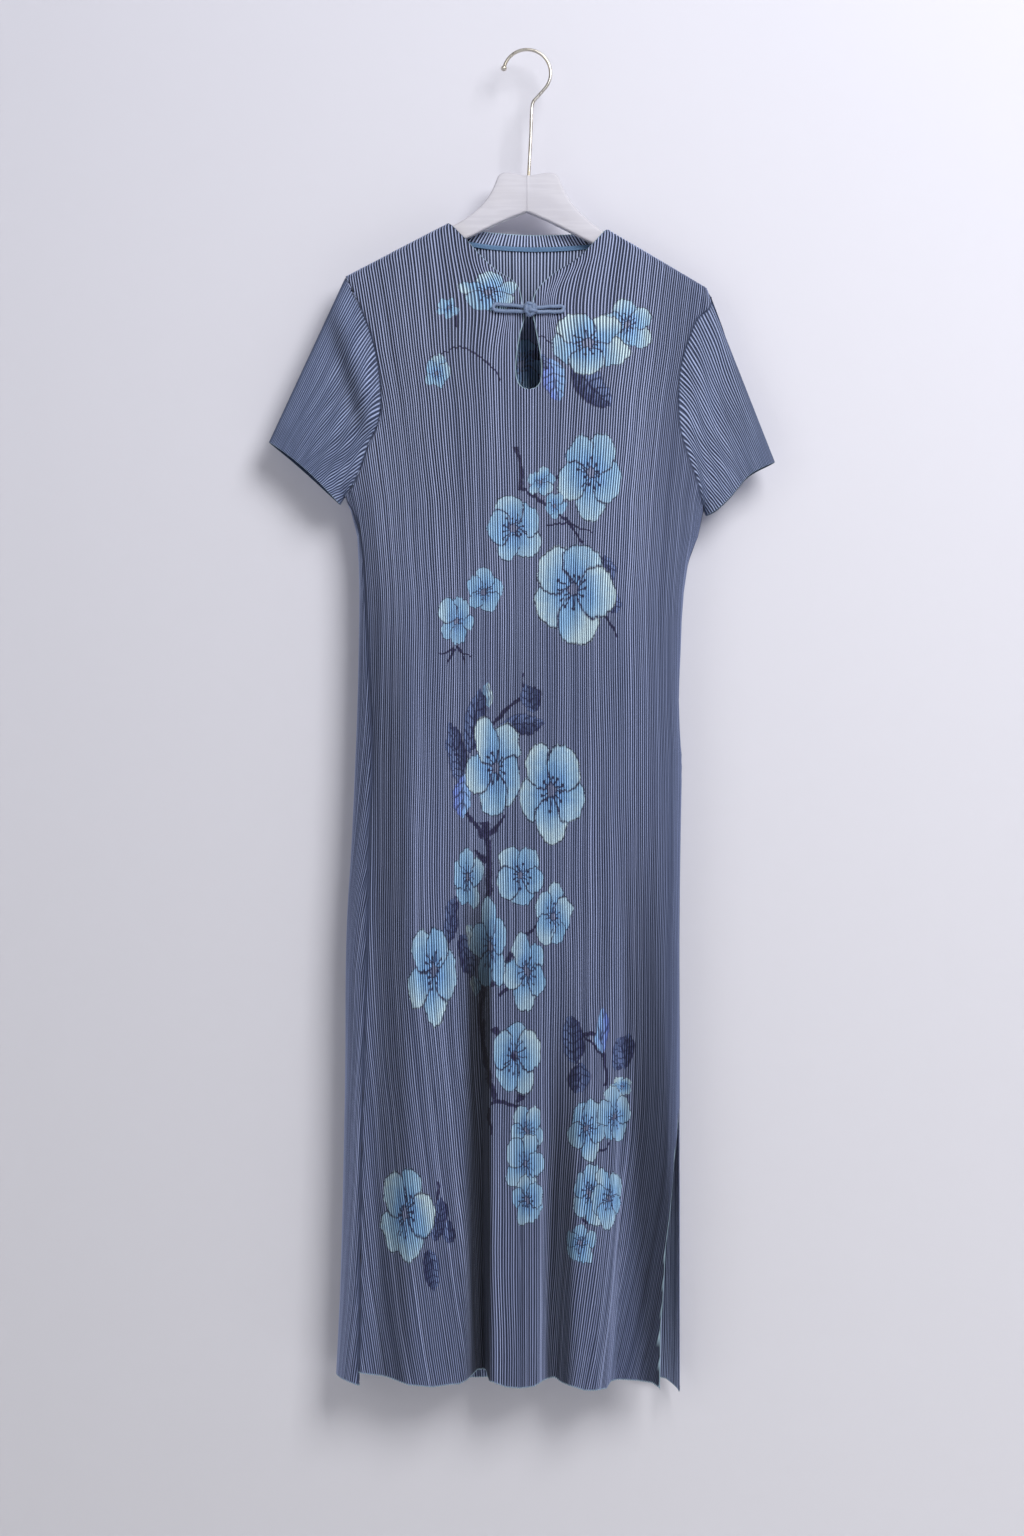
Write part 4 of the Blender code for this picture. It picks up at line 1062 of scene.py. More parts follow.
def woven_tape():
    """Fine diagonal twill, darker in its lines, with a row of stitches near each edge."""
    made, tree, shader = new_material("woven_tape")
    m, ramp = partial(math_node, tree), partial(map_range, tree)
    along, across = run_and_way(tree)
    line = ramp(m("SINE", m("MULTIPLY_ADD", across, 9.0, m("MULTIPLY", along, 9.0))), -0.2, 0.8)
    away = m("ABSOLUTE", m("SUBTRACT", m("ABSOLUTE", across), TAPE_STITCH_AT))
    stitch = ramp(m("SINE", m("MULTIPLY", along, 2.9)), -0.5, 0.1)
    stitch = m("MULTIPLY", stitch, ramp(away, 0.1, 0.3, 1.0, 0.0))
    colour = mix_colour(tree, line, TAPE_BLUE_DARK, TAPE_BLUE)
    set_inputs(shader, {
        "Base Color": mix_colour(tree, m("MULTIPLY", stitch, 0.7), colour, TAPE_STITCH),
        "Normal": bump(tree, m("MAXIMUM", line, stitch), 0.4, 0.0002),
        "Roughness": 0.6,
    })
    return made


def run_uv(made, along, across):
    """A UV map in mm: along the run and across it."""
    layer = made.data.uv_layers.new(name="run")
    corner = np.empty(len(made.data.loops), dtype=int)
    made.data.loops.foreach_get("vertex_index", corner)
    layer.data.foreach_set("uv", stacked(along[corner], across[corner]).ravel())


along = np.linspace(*TAPE_ENDS, 160)
seam = through(STAND_SEAM, along)
turn = np.linspace(0, 2 * np.pi, 20, endpoint=False)
across = TAPE_HALF * np.sign(np.cos(turn)) * np.abs(np.cos(turn)) ** 0.5
thick = TAPE_THICK / 2 * np.sign(np.sin(turn)) * np.abs(np.sin(turn)) ** 0.7
slope = np.gradient(seam, axis=0)
slope /= np.linalg.norm(slope, axis=1, keepdims=True)
seam_x, seam_z = seam[:, :1], seam[:, 1:]
y = back_y(seam_x, seam_z) - TAPE_GAP + thick + 0.12 * np.sin(seam_x / 3.1)
points = stacked(seam_x - slope[:, 1:] * across, y, seam_z + slope[:, :1] * across)
faces = [face[::-1] for face in capped_tube(len(along), len(turn))]
tape = piece("inner_neck_tape", points, faces, woven_tape(), "tape", "neck_tape")
run = np.linalg.norm(np.diff(seam, axis=0), axis=1).cumsum()
run_uv(tape, np.repeat(np.append(0.0, run), len(turn)), np.tile(across, len(along)))

# ---------------------------------------------------------------- print
# Sprays of plum blossom, a traditional ornament, printed on the pleated front in pale aqua and
# ink blue. Every blossom, leaf and stem is drawn by a rule, so no two are quite alike.
INK, STEM_WASH = (0.012, 0.011, 0.045), (0.030, 0.030, 0.085)
PETAL_DEEP, PETAL_MID = (0.100, 0.220, 0.440), (0.190, 0.365, 0.570)
PETAL_PALE = (0.420, 0.550, 0.610)
LEAF_DARK, LEAF_LIGHT = (0.026, 0.034, 0.095), (0.080, 0.125, 0.270)
LEAF_COLOURS = {
    "leaf": (LEAF_DARK, LEAF_LIGHT), "petal": (PETAL_MID, PETAL_PALE),
    "blue": ((0.10, 0.16, 0.46), (0.24, 0.42, 0.70)),
}
PETALS = 5
STAMENS = 12
PRINT_LEVELS = (-222, -292, -372, -452, -508, -612, -694, -790, -862, -960, -1046, -1112, -1256)
PRINT_SPLIT = (-110, -24, 140)  # x of the edges of two columns of print areas
PRINT_LEFT = -160  # x of the outer edge of the left column, past its sprays
MARGIN = 5.0  # beyond a spray's own size, for the waver of its lines
WAVER, WAVER_SCALE = 9.0, 0.055
# columns: x, z, half width, half height, turn in petals, paleness, how strongly stamens are drawn
BLOSSOMS = (
    (-38, -245, 30, 21, 0.25, 0.6, 1.0), (-79, -262, 11, 11, 0.6, 0.2, 1.0),
    (100, -277, 27, 27, 0.1, 0.7, 1.0), (61, -297, 41, 33, 0.8, 0.9, 1.0),
    (63, -427, 34, 48, 0.75, 0.6, 1.0), (14, -434, 15, 15, 0.35, 0.4, 0.8),
    (28, -459, 12, 14, 0.7, 0.3, 0.6), (-13, -482, 31, 35, 0.05, 0.6, 1.0),
    (46, -542, 42, 51, 0.6, 0.9, 1.0), (-43, -544, 21, 24, 0.3, 0.3, 0.8),
    (-70, -574, 20, 28, 0.55, 0.5, 0.2), (-32, -720, 30, 53, 0.85, 0.8, 1.0),
    (25, -742, 36, 53, 0.75, 1.0, 1.0), (-60, -830, 16, 32, 0.2, 0.4, 1.0),
    (-6, -827, 26, 34, 0.7, 0.6, 1.0), (26, -867, 18, 33, 0.4, 0.5, 1.0),
    (-37, -897, 19, 48, 0.15, 0.3, 0.8), (-94, -922, 26, 54, 0.6, 0.7, 1.0),
    (0, -922, 22, 38, 0.9, 0.5, 0.9), (-12, -1007, 25, 42, 0.3, 0.7, 0.9),
    (0, -1080, 17, 25, 0.8, 0.5, 0.8), (-2, -1112, 20, 29, 0.5, 0.4, 0.6),
    (0, -1150, 17, 27, 0.1, 0.5, 1.0), (94, -1037, 11, 10, 0.0, 0.9, 0.0),
    (60, -1078, 21, 32, 0.65, 0.5, 1.0), (86, -1066, 18, 30, 0.2, 0.5, 1.0),
    (62, -1142, 19, 32, 0.45, 0.6, 1.0), (80, -1148, 17, 30, 0.9, 0.5, 0.9),
    (53, -1192, 16, 20, 0.3, 0.3, 0.9), (-120, -1162, 27, 52, 0.55, 0.8, 1.0),
    (-90, -326, 14, 18, 0.45, 0.45, 0.5),
)
# columns: base x, z, tip x, z, half width, veins, kind
LEAVES = (
    (24, -312, 30, -354, 13, 5, "blue"), (44, -318, 82, -360, 15, 6, "leaf"),
    (10, -308, 22, -322, 6, 3, "leaf"), (78, -508, 84, -536, 8, 4, "leaf"),
    (82, -542, 88, -566, 9, 4, "leaf"), (-40, -634, -38, -660, 6, 0, "petal"),
    (6, -664, 0, -636, 11, 4, "leaf"), (-28, -678, 18, -676, 11, 5, "leaf"),
    (-58, -706, -46, -640, 10, 7, "leaf"), (-62, -738, -76, -676, 10, 6, "leaf"),
    (-60, -742, -72, -706, 9, 5, "leaf"), (-64, -726, -66, -770, 9, 4, "blue"),
    (-80, -896, -72, -848, 8, 6, "leaf"), (-66, -884, -54, -930, 8, 5, "leaf"),
    (-52, -902, -58, -874, 6, 0, "petal"), (-50, -946, -53, -926, 5, 0, "petal"),
    (48, -1014, 44, -966, 12, 6, "leaf"), (54, -1012, 48, -1046, 11, 5, "leaf"),
    (74, -1004, 76, -958, 7, 2, "blue"), (88, -1020, 104, -984, 11, 6, "leaf"),
    (98, -1020, 92, -986, 9, 5, "leaf"), (-92, -1190, -84, -1146, 9, 6, "leaf"),
    (-98, -1198, -92, -1240, 9, 6, "leaf"), (-80, -1192, -76, -1170, 7, 3, "leaf"),
)
# columns: base x, z, tip x, z, bend, width at the base, width at the tip
STEMS = (
    (-97, -312, -27, -334, 20, 0.6, 0.9), (-72, -268, -72, -280, 1, 1.4, 0.6),
    (4, -290, 26, -300, 3, 0.6, 0.5), (-12, -402, -6, -442, 2, 2.0, 1.6),
    (-7, -440, 56, -496, 5, 1.6, 1.0), (20, -478, 66, -488, 4, 0.8, 0.5),
    (18, -434, 34, -424, -2, 1.6, 1.0), (74, -548, 90, -588, -3, 1.2, 0.9),
    (-72, -600, -88, -606, 1, 1.2, 0.6), (-72, -600, -80, -620, -1, 1.2, 0.6),
    (-70, -600, -62, -618, 1, 1.2, 0.6), (-70, -600, -56, -610, -1, 1.0, 0.6),
    (-34, -676, 8, -646, 4, 1.5, 1.3), (-4, -640, -2, -624, 1, 0.9, 0.6),
    (-42, -774, -40, -860, 3, 3.2, 2.6), (-62, -764, -44, -790, 2, 1.6, 2.2),
    (-22, -766, -38, -786, 2, 1.2, 2.4), (-40, -812, -52, -800, 2, 3.4, 1.0),
    (-40, -858, -42, -912, -2, 2.4, 2.2), (-42, -912, -32, -1050, -7, 2.6, 2.0),
    (-36, -938, 14, -874, 5, 2.2, 1.2), (-28, -948, -2, -928, 2, 1.6, 1.2),
    (-34, -978, -6, -1052, 8, 3.0, 3.0), (-36, -1052, -2, -1060, 3, 1.6, 1.6),
    (-38, -1056, -36, -1084, 0, 1.2, 0.8), (56, -984, 78, -1036, 9, 1.2, 1.8),
    (50, -986, 70, -984, 2, 2.4, 1.4), (66, -1096, 82, -1094, -6, 1.0, 1.0),
    (-89, -1130, -90, -1186, 1, 0.9, 2.0), (54, -1168, 76, -1168, -4, 1.4, 1.2),
)


def random_numbers(tree, value):
    """Three numbers from 0 to 1 that depend on one number."""
    made = node(tree, "TexWhiteNoise", {}, noise_dimensions="1D")
    set_inputs(made, {"W": value})
    return parts(tree, made.outputs["Color"])


def along_and_across(group, inside):
    """Where a point lies between Base and Tip: share of the way, and distance to the side in mm."""
    v = partial(vector_node, group)
    way = v("SUBTRACT", inside["Tip"], inside["Base"])["Vector"]
    from_base = v("SUBTRACT", inside["Place"], inside["Base"])["Vector"]
    unit = v("NORMALIZE", way)["Vector"]
    forward, length = v("DOT_PRODUCT", from_base, unit)["Value"], v("LENGTH", way)["Value"]
    aside = parts(group, v("CROSS_PRODUCT", unit, from_base)["Vector"])["Z"]
    return math_node(group, "DIVIDE", forward, length), aside


def start_print(name, inputs):
    """A group that prints one kind of thing at Place over the colour Under, with its helpers."""
    under = {"Under": (0.1, 0.1, 0.2, 1.0), "Place": (0.0, 0.0, 0.0)}
    group, inside, out = start_group(name, {**under, **inputs})
    helpers = (partial(make, group) for make in (math_node, map_range, mix_colour))
    return group, inside, out, *helpers


def blossom_group():
    """A five-petalled blossom. In polar places round the centre, scaled to the blossom's half
    width and height, petal n is the oval ((u - base - long) / long)^2 + (v / wide)^2 < 1, where u
    runs along the petal and v across it. Each petal's size, tone and rank over its neighbour are
    random."""
    group, inside, out, m, ramp, mix = start_print("plum_blossom", {
        "Centre": (0.0, 0.0, 0.0), "Half size": (20.0, 20.0, 1.0), "Turn": 0.0, "Seed": 1.0,
        "Pale": 0.5, "Stamens": 1.0,
    })
    place = inside["Place"]
    from_centre = vector_node(group, "SUBTRACT", place, inside["Centre"])["Vector"]
    flat = parts(group, vector_node(group, "DIVIDE", from_centre, inside["Half size"])["Vector"])
    reach = m("SQRT", m("MULTIPLY_ADD", flat["X"], flat["X"], m("MULTIPLY", flat["Y"], flat["Y"])))
    turned = m("ADD", inside["Turn"], 10.0)
    sector = m("MULTIPLY_ADD", m("ARCTAN2", flat["Y"], flat["X"]), PETALS / (2 * np.pi), turned)
    index = m("FLOOR", sector)
    off = m("SUBTRACT", m("FRACT", sector), 0.5)
    side = m("SIGN", off)

    def petal(number, step):
        """How far out a point is in a petal, 1 at its outline, with its dice and v / wide."""
        angle = m("MULTIPLY", m("SUBTRACT", off, m("MULTIPLY", side, step)), 2 * np.pi / PETALS)
        number = m("FLOORED_MODULO", number, float(PETALS))
        dice = random_numbers(group, m("MULTIPLY_ADD", number, 7.3, inside["Seed"]))
        long = m("MULTIPLY_ADD", dice["X"], 0.14, 0.37)
        wide = m("MULTIPLY_ADD", dice["Y"], 0.16, 0.37)
        u = m("MULTIPLY", reach, m("COSINE", angle))
        v = m("MULTIPLY", reach, m("SINE", angle))
        length_part = m("DIVIDE", m("SUBTRACT", m("SUBTRACT", u, 0.10), long), long)
        width_part = m("DIVIDE", v, wide)
        squares = m("MULTIPLY_ADD", length_part, length_part, m("MULTIPLY", width_part, width_part))
        return m("SQRT", squares), dice, width_part

    def choose(factor, no, yes):
        return m("MULTIPLY_ADD", factor, m("SUBTRACT", yes, no), no)

    own, own_dice, own_side = petal(index, 0.0)
    next_, next_dice, next_side = petal(m("ADD", index, m("MULTIPLY", side, 1.0)), 1.0)
    own_over = m("GREATER_THAN", own_dice["Z"], next_dice["Z"])
    over = choose(own_over, next_, own)
    under = choose(own_over, own, next_)
    show_over = m("LESS_THAN", over, 1.0)
    edge = choose(show_over, under, over)
    own_shown = m("COMPARE", show_over, own_over, 0.5)
    tone = choose(own_shown, next_dice["X"], own_dice["X"])
    across = choose(own_shown, next_side, own_side)
    mask = ramp(edge, 0.97, 1.03, 1.0, 0.0)
    # Watercolour: deep at the heart, cream towards the edge, with streaks.
    wash = noise(group, place, 0.16, 2.0)
    fleck = noise(group, place, 0.55, 2.0)
    outward = ramp(m("ADD", reach, m("MULTIPLY", wash, 0.5)), 0.35, 0.85)
    colour = mix(outward, PETAL_DEEP, PETAL_MID)
    cream = ramp(m("MULTIPLY_ADD", across, m("SUBTRACT", tone, 0.5), reach), 0.42, 0.98)
    cream = m("MULTIPLY", cream, inside["Pale"])
    cream = m("MULTIPLY", cream, ramp(m("ADD", tone, wash), 0.45, 1.25, 0.25, 1.3))
    colour = mix(cream, colour, PETAL_PALE)
    streak = ramp(m("SINE", m("MULTIPLY_ADD", across, 9.0, m("MULTIPLY", wash, 6.0))), 0.55, 1.0)
    streak = m("MULTIPLY", streak, ramp(reach, 0.35, 0.8, 0.4, 0.0))
    colour = mix(streak, colour, PETAL_DEEP)
    # Ink: stamens with dots at their ends, the heart, and the outlines of the petals.
    spoke = m("MULTIPLY", sector, STAMENS / PETALS)
    spoke_dice = random_numbers(group, m("ADD", m("FLOOR", spoke), inside["Seed"]))
    stamen = m("MULTIPLY_ADD", spoke_dice["X"], 0.26, 0.20)
    aside = m("MULTIPLY", m("SUBTRACT", m("FRACT", spoke), 0.5), 2 * np.pi / STAMENS)
    aside = m("MULTIPLY", aside, reach)
    thread = ramp(m("ABSOLUTE", aside), 0.006, 0.022, 1.0, 0.0)
    thread = m("MULTIPLY", thread, m("LESS_THAN", reach, stamen))
    past = m("SUBTRACT", reach, stamen)
    dot = m("MULTIPLY_ADD", past, past, m("MULTIPLY", aside, aside))
    dot = ramp(dot, 0.0006, 0.0022, 1.0, 0.0)
    heart = ramp(m("MULTIPLY_ADD", fleck, 0.08, reach), 0.07, 0.15, 1.0, 0.0)
    drawn = m("MULTIPLY", m("MAXIMUM", m("MAXIMUM", thread, dot), heart), inside["Stamens"])
    line_over = ramp(m("ABSOLUTE", m("SUBTRACT", over, 0.97)), 0.02, 0.085, 1.0, 0.0)
    line_under = ramp(m("ABSOLUTE", m("SUBTRACT", edge, 0.97)), 0.02, 0.07, 1.0, 0.0)
    outline = m("MAXIMUM", m("MULTIPLY", line_over, 0.85), line_under)
    outline = m("MULTIPLY", outline, ramp(fleck, 0.32, 0.5, 0.3, 1.0))
    colour = mix(m("MULTIPLY", m("MAXIMUM", drawn, outline), 0.95), colour, INK)
    set_inputs(out, {"Colour": mix(mask, inside["Under"], colour)})
    return group


def leaf_group():
    """A leaf or a closed bud from Base to Tip: half width = wide (4 t (1 - t))^0.8. One half is
    lighter than the other, veins slant forward from the midrib, and an ink line runs round it."""
    group, inside, out, m, ramp, mix = start_print("print_leaf", {
        "Base": (0.0, 0.0, 0.0), "Tip": (0.0, 20.0, 0.0), "Half width": 6.0, "Veins": 5.0,
        "Dark": (0.05, 0.05, 0.2, 1.0), "Light": (0.1, 0.2, 0.4, 1.0),
    })
    share, across = along_and_across(group, inside)
    held = m("MINIMUM", m("MAXIMUM", share, 0.001), 0.999)
    profile = m("MULTIPLY", m("MULTIPLY", held, m("SUBTRACT", 1.0, held)), 4.0)
    profile = m("POWER", profile, 0.8)
    reach = m("DIVIDE", across, m("MULTIPLY", profile, inside["Half width"]))
    away = m("ABSOLUTE", reach)
    within = m("LESS_THAN", m("ABSOLUTE", m("SUBTRACT", share, 0.5)), 0.5)
    mask = m("MULTIPLY", ramp(away, 0.9, 1.05, 1.0, 0.0), within)
    wash = ramp(m("MULTIPLY_ADD", noise(group, inside["Place"], 0.2, 2.0), 1.6, reach), 0.1, 1.6)
    colour = mix(wash, inside["Dark"], inside["Light"])
    vein = m("FRACT", m("MULTIPLY_ADD", share, inside["Veins"], m("MULTIPLY", away, -0.9)))
    vein = ramp(m("ABSOLUTE", m("SUBTRACT", vein, 0.5)), 0.05, 0.16, 0.7, 0.0)
    ink = m("MAXIMUM", vein, ramp(away, 0.03, 0.12, 0.8, 0.0))
    ink = m("MAXIMUM", ink, ramp(away, 0.78, 0.98, 0.0, 0.8))
    set_inputs(out, {"Colour": mix(mask, inside["Under"], mix(ink, colour, INK))})
    return group


def stem_group():
    """A brushed stem from Base to Tip, bowed to one side by 4 bend t (1 - t), of uneven width."""
    group, inside, out, m, ramp, mix = start_print("print_stem", {
        "Base": (0.0, 0.0, 0.0), "Tip": (0.0, 20.0, 0.0), "Bend": 0.0, "Base width": 1.2,
        "Tip width": 0.6,
    })
    share, across = along_and_across(group, inside)
    bow = m("MULTIPLY", m("MULTIPLY", share, m("SUBTRACT", 1.0, share)), 4.0)
    away = m("ABSOLUTE", m("SUBTRACT", across, m("MULTIPLY", bow, inside["Bend"])))
    rough = noise(group, inside["Place"], 0.35, 2.0)
    growth = m("SUBTRACT", inside["Tip width"], inside["Base width"])
    wide = m("MULTIPLY_ADD", share, growth, inside["Base width"])
    wide = m("MULTIPLY", wide, m("MULTIPLY_ADD", rough, 1.4, 0.3))
    mask = ramp(m("DIVIDE", away, wide), 0.9, 1.5, 1.0, 0.0)
    within = m("LESS_THAN", m("ABSOLUTE", m("SUBTRACT", share, 0.5)), 0.5)
    mask = m("MULTIPLY", m("MULTIPLY", mask, within), 0.96)
    colour = mix(ramp(rough, 0.4, 0.7), INK, STEM_WASH)
    set_inputs(out, {"Colour": mix(mask, inside["Under"], colour)})
    return group


BLOSSOM, LEAF, STEM = blossom_group(), leaf_group(), stem_group()


def blossom(seed, x, z, wide, tall, turn, pale, stamens):
    """The group that prints a blossom, and its numbers."""
    return BLOSSOM, {
        "Centre": (x, z, 0), "Half size": (wide, tall, 1), "Turn": turn, "Seed": seed,
        "Pale": pale, "Stamens": stamens,
    }


def leaf(x0, z0, x1, z1, wide, veins, kind):
    """The group that prints a leaf, and its numbers."""
    dark, light = LEAF_COLOURS[kind]
    return LEAF, {
        "Base": (x0, z0, 0), "Tip": (x1, z1, 0), "Half width": wide, "Veins": veins,
        "Dark": dark, "Light": light,
    }


def stem(x0, z0, x1, z1, bend, wide, thin):
    """The group that prints a stem, and its numbers."""
    return STEM, {
        "Base": (x0, z0, 0), "Tip": (x1, z1, 0), "Bend": bend, "Base width": wide,
        "Tip width": thin,
    }


def reaches(area, x0, z0, x1, z1, half_x, half_z):
    """Whether the box round two ends, grown by half_x and half_z and a margin, meets an area."""
    x_low, x_high, z_low, z_high = area
    half_x, half_z = half_x + MARGIN, half_z + MARGIN
    return (
        max(x0, x1) + half_x > x_low and min(x0, x1) - half_x < x_high
        and max(z0, z1) + half_z > z_low and min(z0, z1) - half_z < z_high
    )


def sprays_in(area):
    """The stems, leaves and blossoms that reach into an area, in the order they are printed."""
    found = []
    for row in STEMS:
        half = abs(row[4]) + max(row[5:]) * 2
        if reaches(area, *row[:4], half, half):
            found.append(stem(*row))
    found += [leaf(*row) for row in LEAVES if reaches(area, *row[:4], row[4], row[4])]
    for i, row in enumerate(BLOSSOMS):
        if reaches(area, *row[:2], *row[:4]):
            found.append(blossom(3.7 * i + 1.9, *row))
    return found


def printed(sprays):
    """Draws sprays over the cloth's colour, with a hand-drawn waver, and thinner in the troughs."""

    def draw(tree, lay, colour):
        v = partial(vector_node, tree)
        flat = v("MULTIPLY", lay, (1.0, 1.0, 0.0))["Vector"]
        waver = node(tree, "TexNoise", {"Scale": WAVER_SCALE, "Detail": 1.5, "Vector": flat})
        moved = v("SUBTRACT", waver.outputs["Color"], (0.5, 0.5, 0.5))["Vector"]
        moved = v("MULTIPLY", moved, (WAVER, WAVER, 0.0))["Vector"]
        place = v("ADD", flat, moved)["Vector"]
        under = colour
        for group, numbers in sprays:
            inputs = {**numbers, "Under": under, "Place": place}
            under = node(tree, "Group", inputs, node_tree=group).outputs["Colour"]
        inked = map_range(tree, parts(tree, lay)["Z"], -1.0, -0.2, 0.35, 1.0)
        return mix_colour(tree, inked, colour, under)

    return draw


# ---------------------------------------------------------------- front
# The front of the dress, cut from the printed length, pleated like the back, with a keyhole
# opening at the neck and a slit that is left open low in the right seam.
# Edges in the front view, downwards, and the hem from left to right. columns: x, z
NECK_LEFT = (
    (-78, -173), (-61, -190), (-48, -205), (-28, -224), (-14, -233), (-8, -241), (-5, -254),
    (-3, -268), (-3, -275), (-6, -284), (-8.5, -297), (-10.5, -312), (-11, -326), (-8.5, -336.5),
    (-3.5, -341.5), (2, -343),
)
NECK_RIGHT = (
    (80, -179), (66, -194), (47, -212), (30, -223), (18, -233), (9, -244), (5.5, -254), (5.5, -268),
    (7, -275), (9, -286), (11.5, -299), (13.5, -312), (14, -326), (12.5, -336.5), (8, -341.5),
    (2, -343),
)
HEM_FRONT = (
    (-167, -1320), (-141, -1324), (-114, -1333), (-91, -1335), (-64, -1331), (-55, -1325),
    (-48, -1321), (-40, -1321), (-37, -1329), (-21, -1335), (-8, -1336), (7, -1333), (14, -1329),
    (25, -1328), (33, -1332), (55, -1337), (77, -1336), (81, -1330), (105, -1330), (120, -1331),
    (131, -1338),
)
SLIT_EDGE = ((153, -1070), (151, -1080), (145, -1134), (139.5, -1184), (134.5, -1250), (131, -1345))
SLIT_TOP_Z = -1078.0
SLIT_WAVE = 0.7  # of the slit's free edge
KEYHOLE_END = -343.0
# The inside of the back seen through the keyhole is coloured lighter still: painted light where it
# lies in shade.
INSIDE_SLATE = (0.21, 0.26, 0.42)
FRONT_STEPS = np.concatenate([
    np.linspace(FREE_Z, -335, 11)[1:], (-338.5, -341.0, -342.4, -343.0),
    np.linspace(-343, -372, 3)[1:], np.linspace(-372, -462, 19)[1:],
    np.linspace(-462, -1305, 32)[1:],
])
# columns: side, turn, edge of the neck, z where it turns down, how much closer the pleats are set
FRONT_HALVES = (
    ("left", -1, NECK_LEFT, -241.0, 0.1), ("right", 1, NECK_RIGHT, -244.0, 0.4),
)
front_halves = []
for side, turn, neck, neck_turn_z, closer in FRONT_HALVES:
    levels = levels_of(side)
    if side == "left":
        free_below = FLOOR_LEVEL
        outer = outer_edge(levels, side, (line_of(SEAM_LEFT), FLOOR_LEVEL))
    else:
        free_below = SLIT_TOP_Z
        below = (line_of(SIDE_RIGHT), SLIT_TOP_Z), (line_of(SLIT_EDGE), FLOOR_LEVEL)
        wave = SLIT_WAVE * np.sin(levels / 6.5) * smooth((SLIT_TOP_Z - levels) / 60)
        outer = outer_edge(levels, side, *below) + wave
    inner = np.where(levels > KEYHOLE_END, x_at(line_of(neck), levels), CENTRE_X)
    lines = pleat_lines(levels, outer, inner, front_y, closer=closer)
    neckline = levels >= neck_turn_z

    def front_top(number, x):
        """Upper edge of the front: the neckline, and outside it the shoulder fold."""
        along_neck = np.interp(-number, -lines["in"][neckline], levels[neckline])
        return np.where(number > lines["out"][0], shoulder_top(lines, number, side), along_neck)

    rows = (FREE_Z, 8, FRONT_STEPS)
    half = half_panel(lines, 20 + turn, front_top, rows, HEM_FRONT, free_below, neck_edge=True)
    front_halves.append((turn, half, front_y(half["x"], half["z"])))

front = pleated_cloth(
    "front", *joined(front_halves, FRONT_SHADE), lambda points: (0, -1, 0), plain_pleats,
    "printed_pleats", "front_left", "front_right", "front_chest", "front_skirt",
)


def face_places(made):
    """x and z of the middles of a piece's faces, in mm."""
    places = np.empty(len(made.data.polygons) * 3)
    made.data.polygons.foreach_get("center", places)
    x, _, z = places.reshape(-1, 3).T / MM
    return x, z


x, z = face_places(front)
area_of = np.zeros(len(x), dtype=np.int32)
front.data.materials.pop(index=1)
for top_z, low_z in zip(PRINT_LEVELS[:-1], PRINT_LEVELS[1:]):
    for low_x, high_x in zip((PRINT_LEFT, *PRINT_SPLIT[1:]), PRINT_SPLIT[1:]):
        sprays = sprays_in((low_x, high_x, low_z, top_z))
        if sprays:
            number = len(front.data.materials)
            name = f"printed_pleats_{number}"
            cloth = pleated_polyester(name, SLATE, CREST_LIGHT, printed(sprays))
            front.data.materials.append(cloth)
            area_of[(x >= low_x) & (x < high_x) & (z >= low_z) & (z < top_z)] = number
front.data.materials.append(reverse_side)
front.data.polygons.foreach_set("material_index", area_of)

# The print shows faintly through the back, where the keyhole lets it be seen.
x, z = face_places(back)
seen = (np.abs(x - 3) < 32) & (z > -352) & (z < -262)
shown = printed([
    blossom(5.1, -6, -312, 30, 30, 0.4, 0.3, 1.0), leaf(4, -306, 26, -290, 8, 4, "leaf"),
])
seen_reverse = pleated_polyester("reverse_printed", INSIDE_SLATE, CREST_LIGHT, shown, turned=True)
back.data.materials.pop(index=1)
for cloth in (plain_pleats, reverse_side, seen_reverse):
    back.data.materials.append(cloth)
back.modifiers["cloth"].material_offset = 2
back.data.polygons.foreach_set("material_index", seen.astype(np.int32))

# ---------------------------------------------------------------- sleeves
# Two short sleeves of plain pleated cloth, each cut in one piece and set into the armhole. The
# pleats run from the armhole to the overlocked cuff and fan towards the underarm.
SLEEVE_ROWS = np.concatenate([
    (0.0, 0.012, 0.03, 0.055), np.linspace(0.085, 0.975, 62), (0.988, 0.996, 1.0),
])
# The inside colour of the sleeves is painted shade: dark navy, as the inside of a sleeve looks in
# its shadow at the cuff.
SLEEVE_SLATE, SLEEVE_INSIDE_SHADE = (0.165, 0.207, 0.345), (0.045, 0.065, 0.135)
# How strongly the painted highlight brightens the crests of the sleeves.
SLEEVE_CREST_LIGHT = 0.6
# columns: side, turn, armhole, cuff, spread at the armhole, S-curve, rise of the front of the cuff
# above its back, depth of the pleats, their pitch at the shoulder fold and towards the underarm
SLEEVES = (
    ("left", -1, ARMHOLE_LEFT, CUFF_LEFT, 0.5, -1.5, 3.0, 0.78, (2.0, 2.9)),
    ("right", 1, ((180, -238), *ARMHOLE_RIGHT), CUFF_RIGHT, 0.0, -3.0, 0.8, 0.95, (2.1, 3.5)),
)
# Shade in the sleeves. columns: x, z, x, z of its two ends, width, how dark with - for lighter
SLEEVE_SHADE = (
    (-203, -238, -157, -408, 8, 0.50), (-187, -224, -150, -386, 7, -0.24),
    (199, -300, 226, -384, 9, 0.10), (178, -330, 190, -390, 8, -0.08),
    (-235, -380, -258, -393, 9, 0.12), (-200, -420, -190, -452, 9, -0.06),
    (-196, -235, -226, -460, 34, -0.03),
)


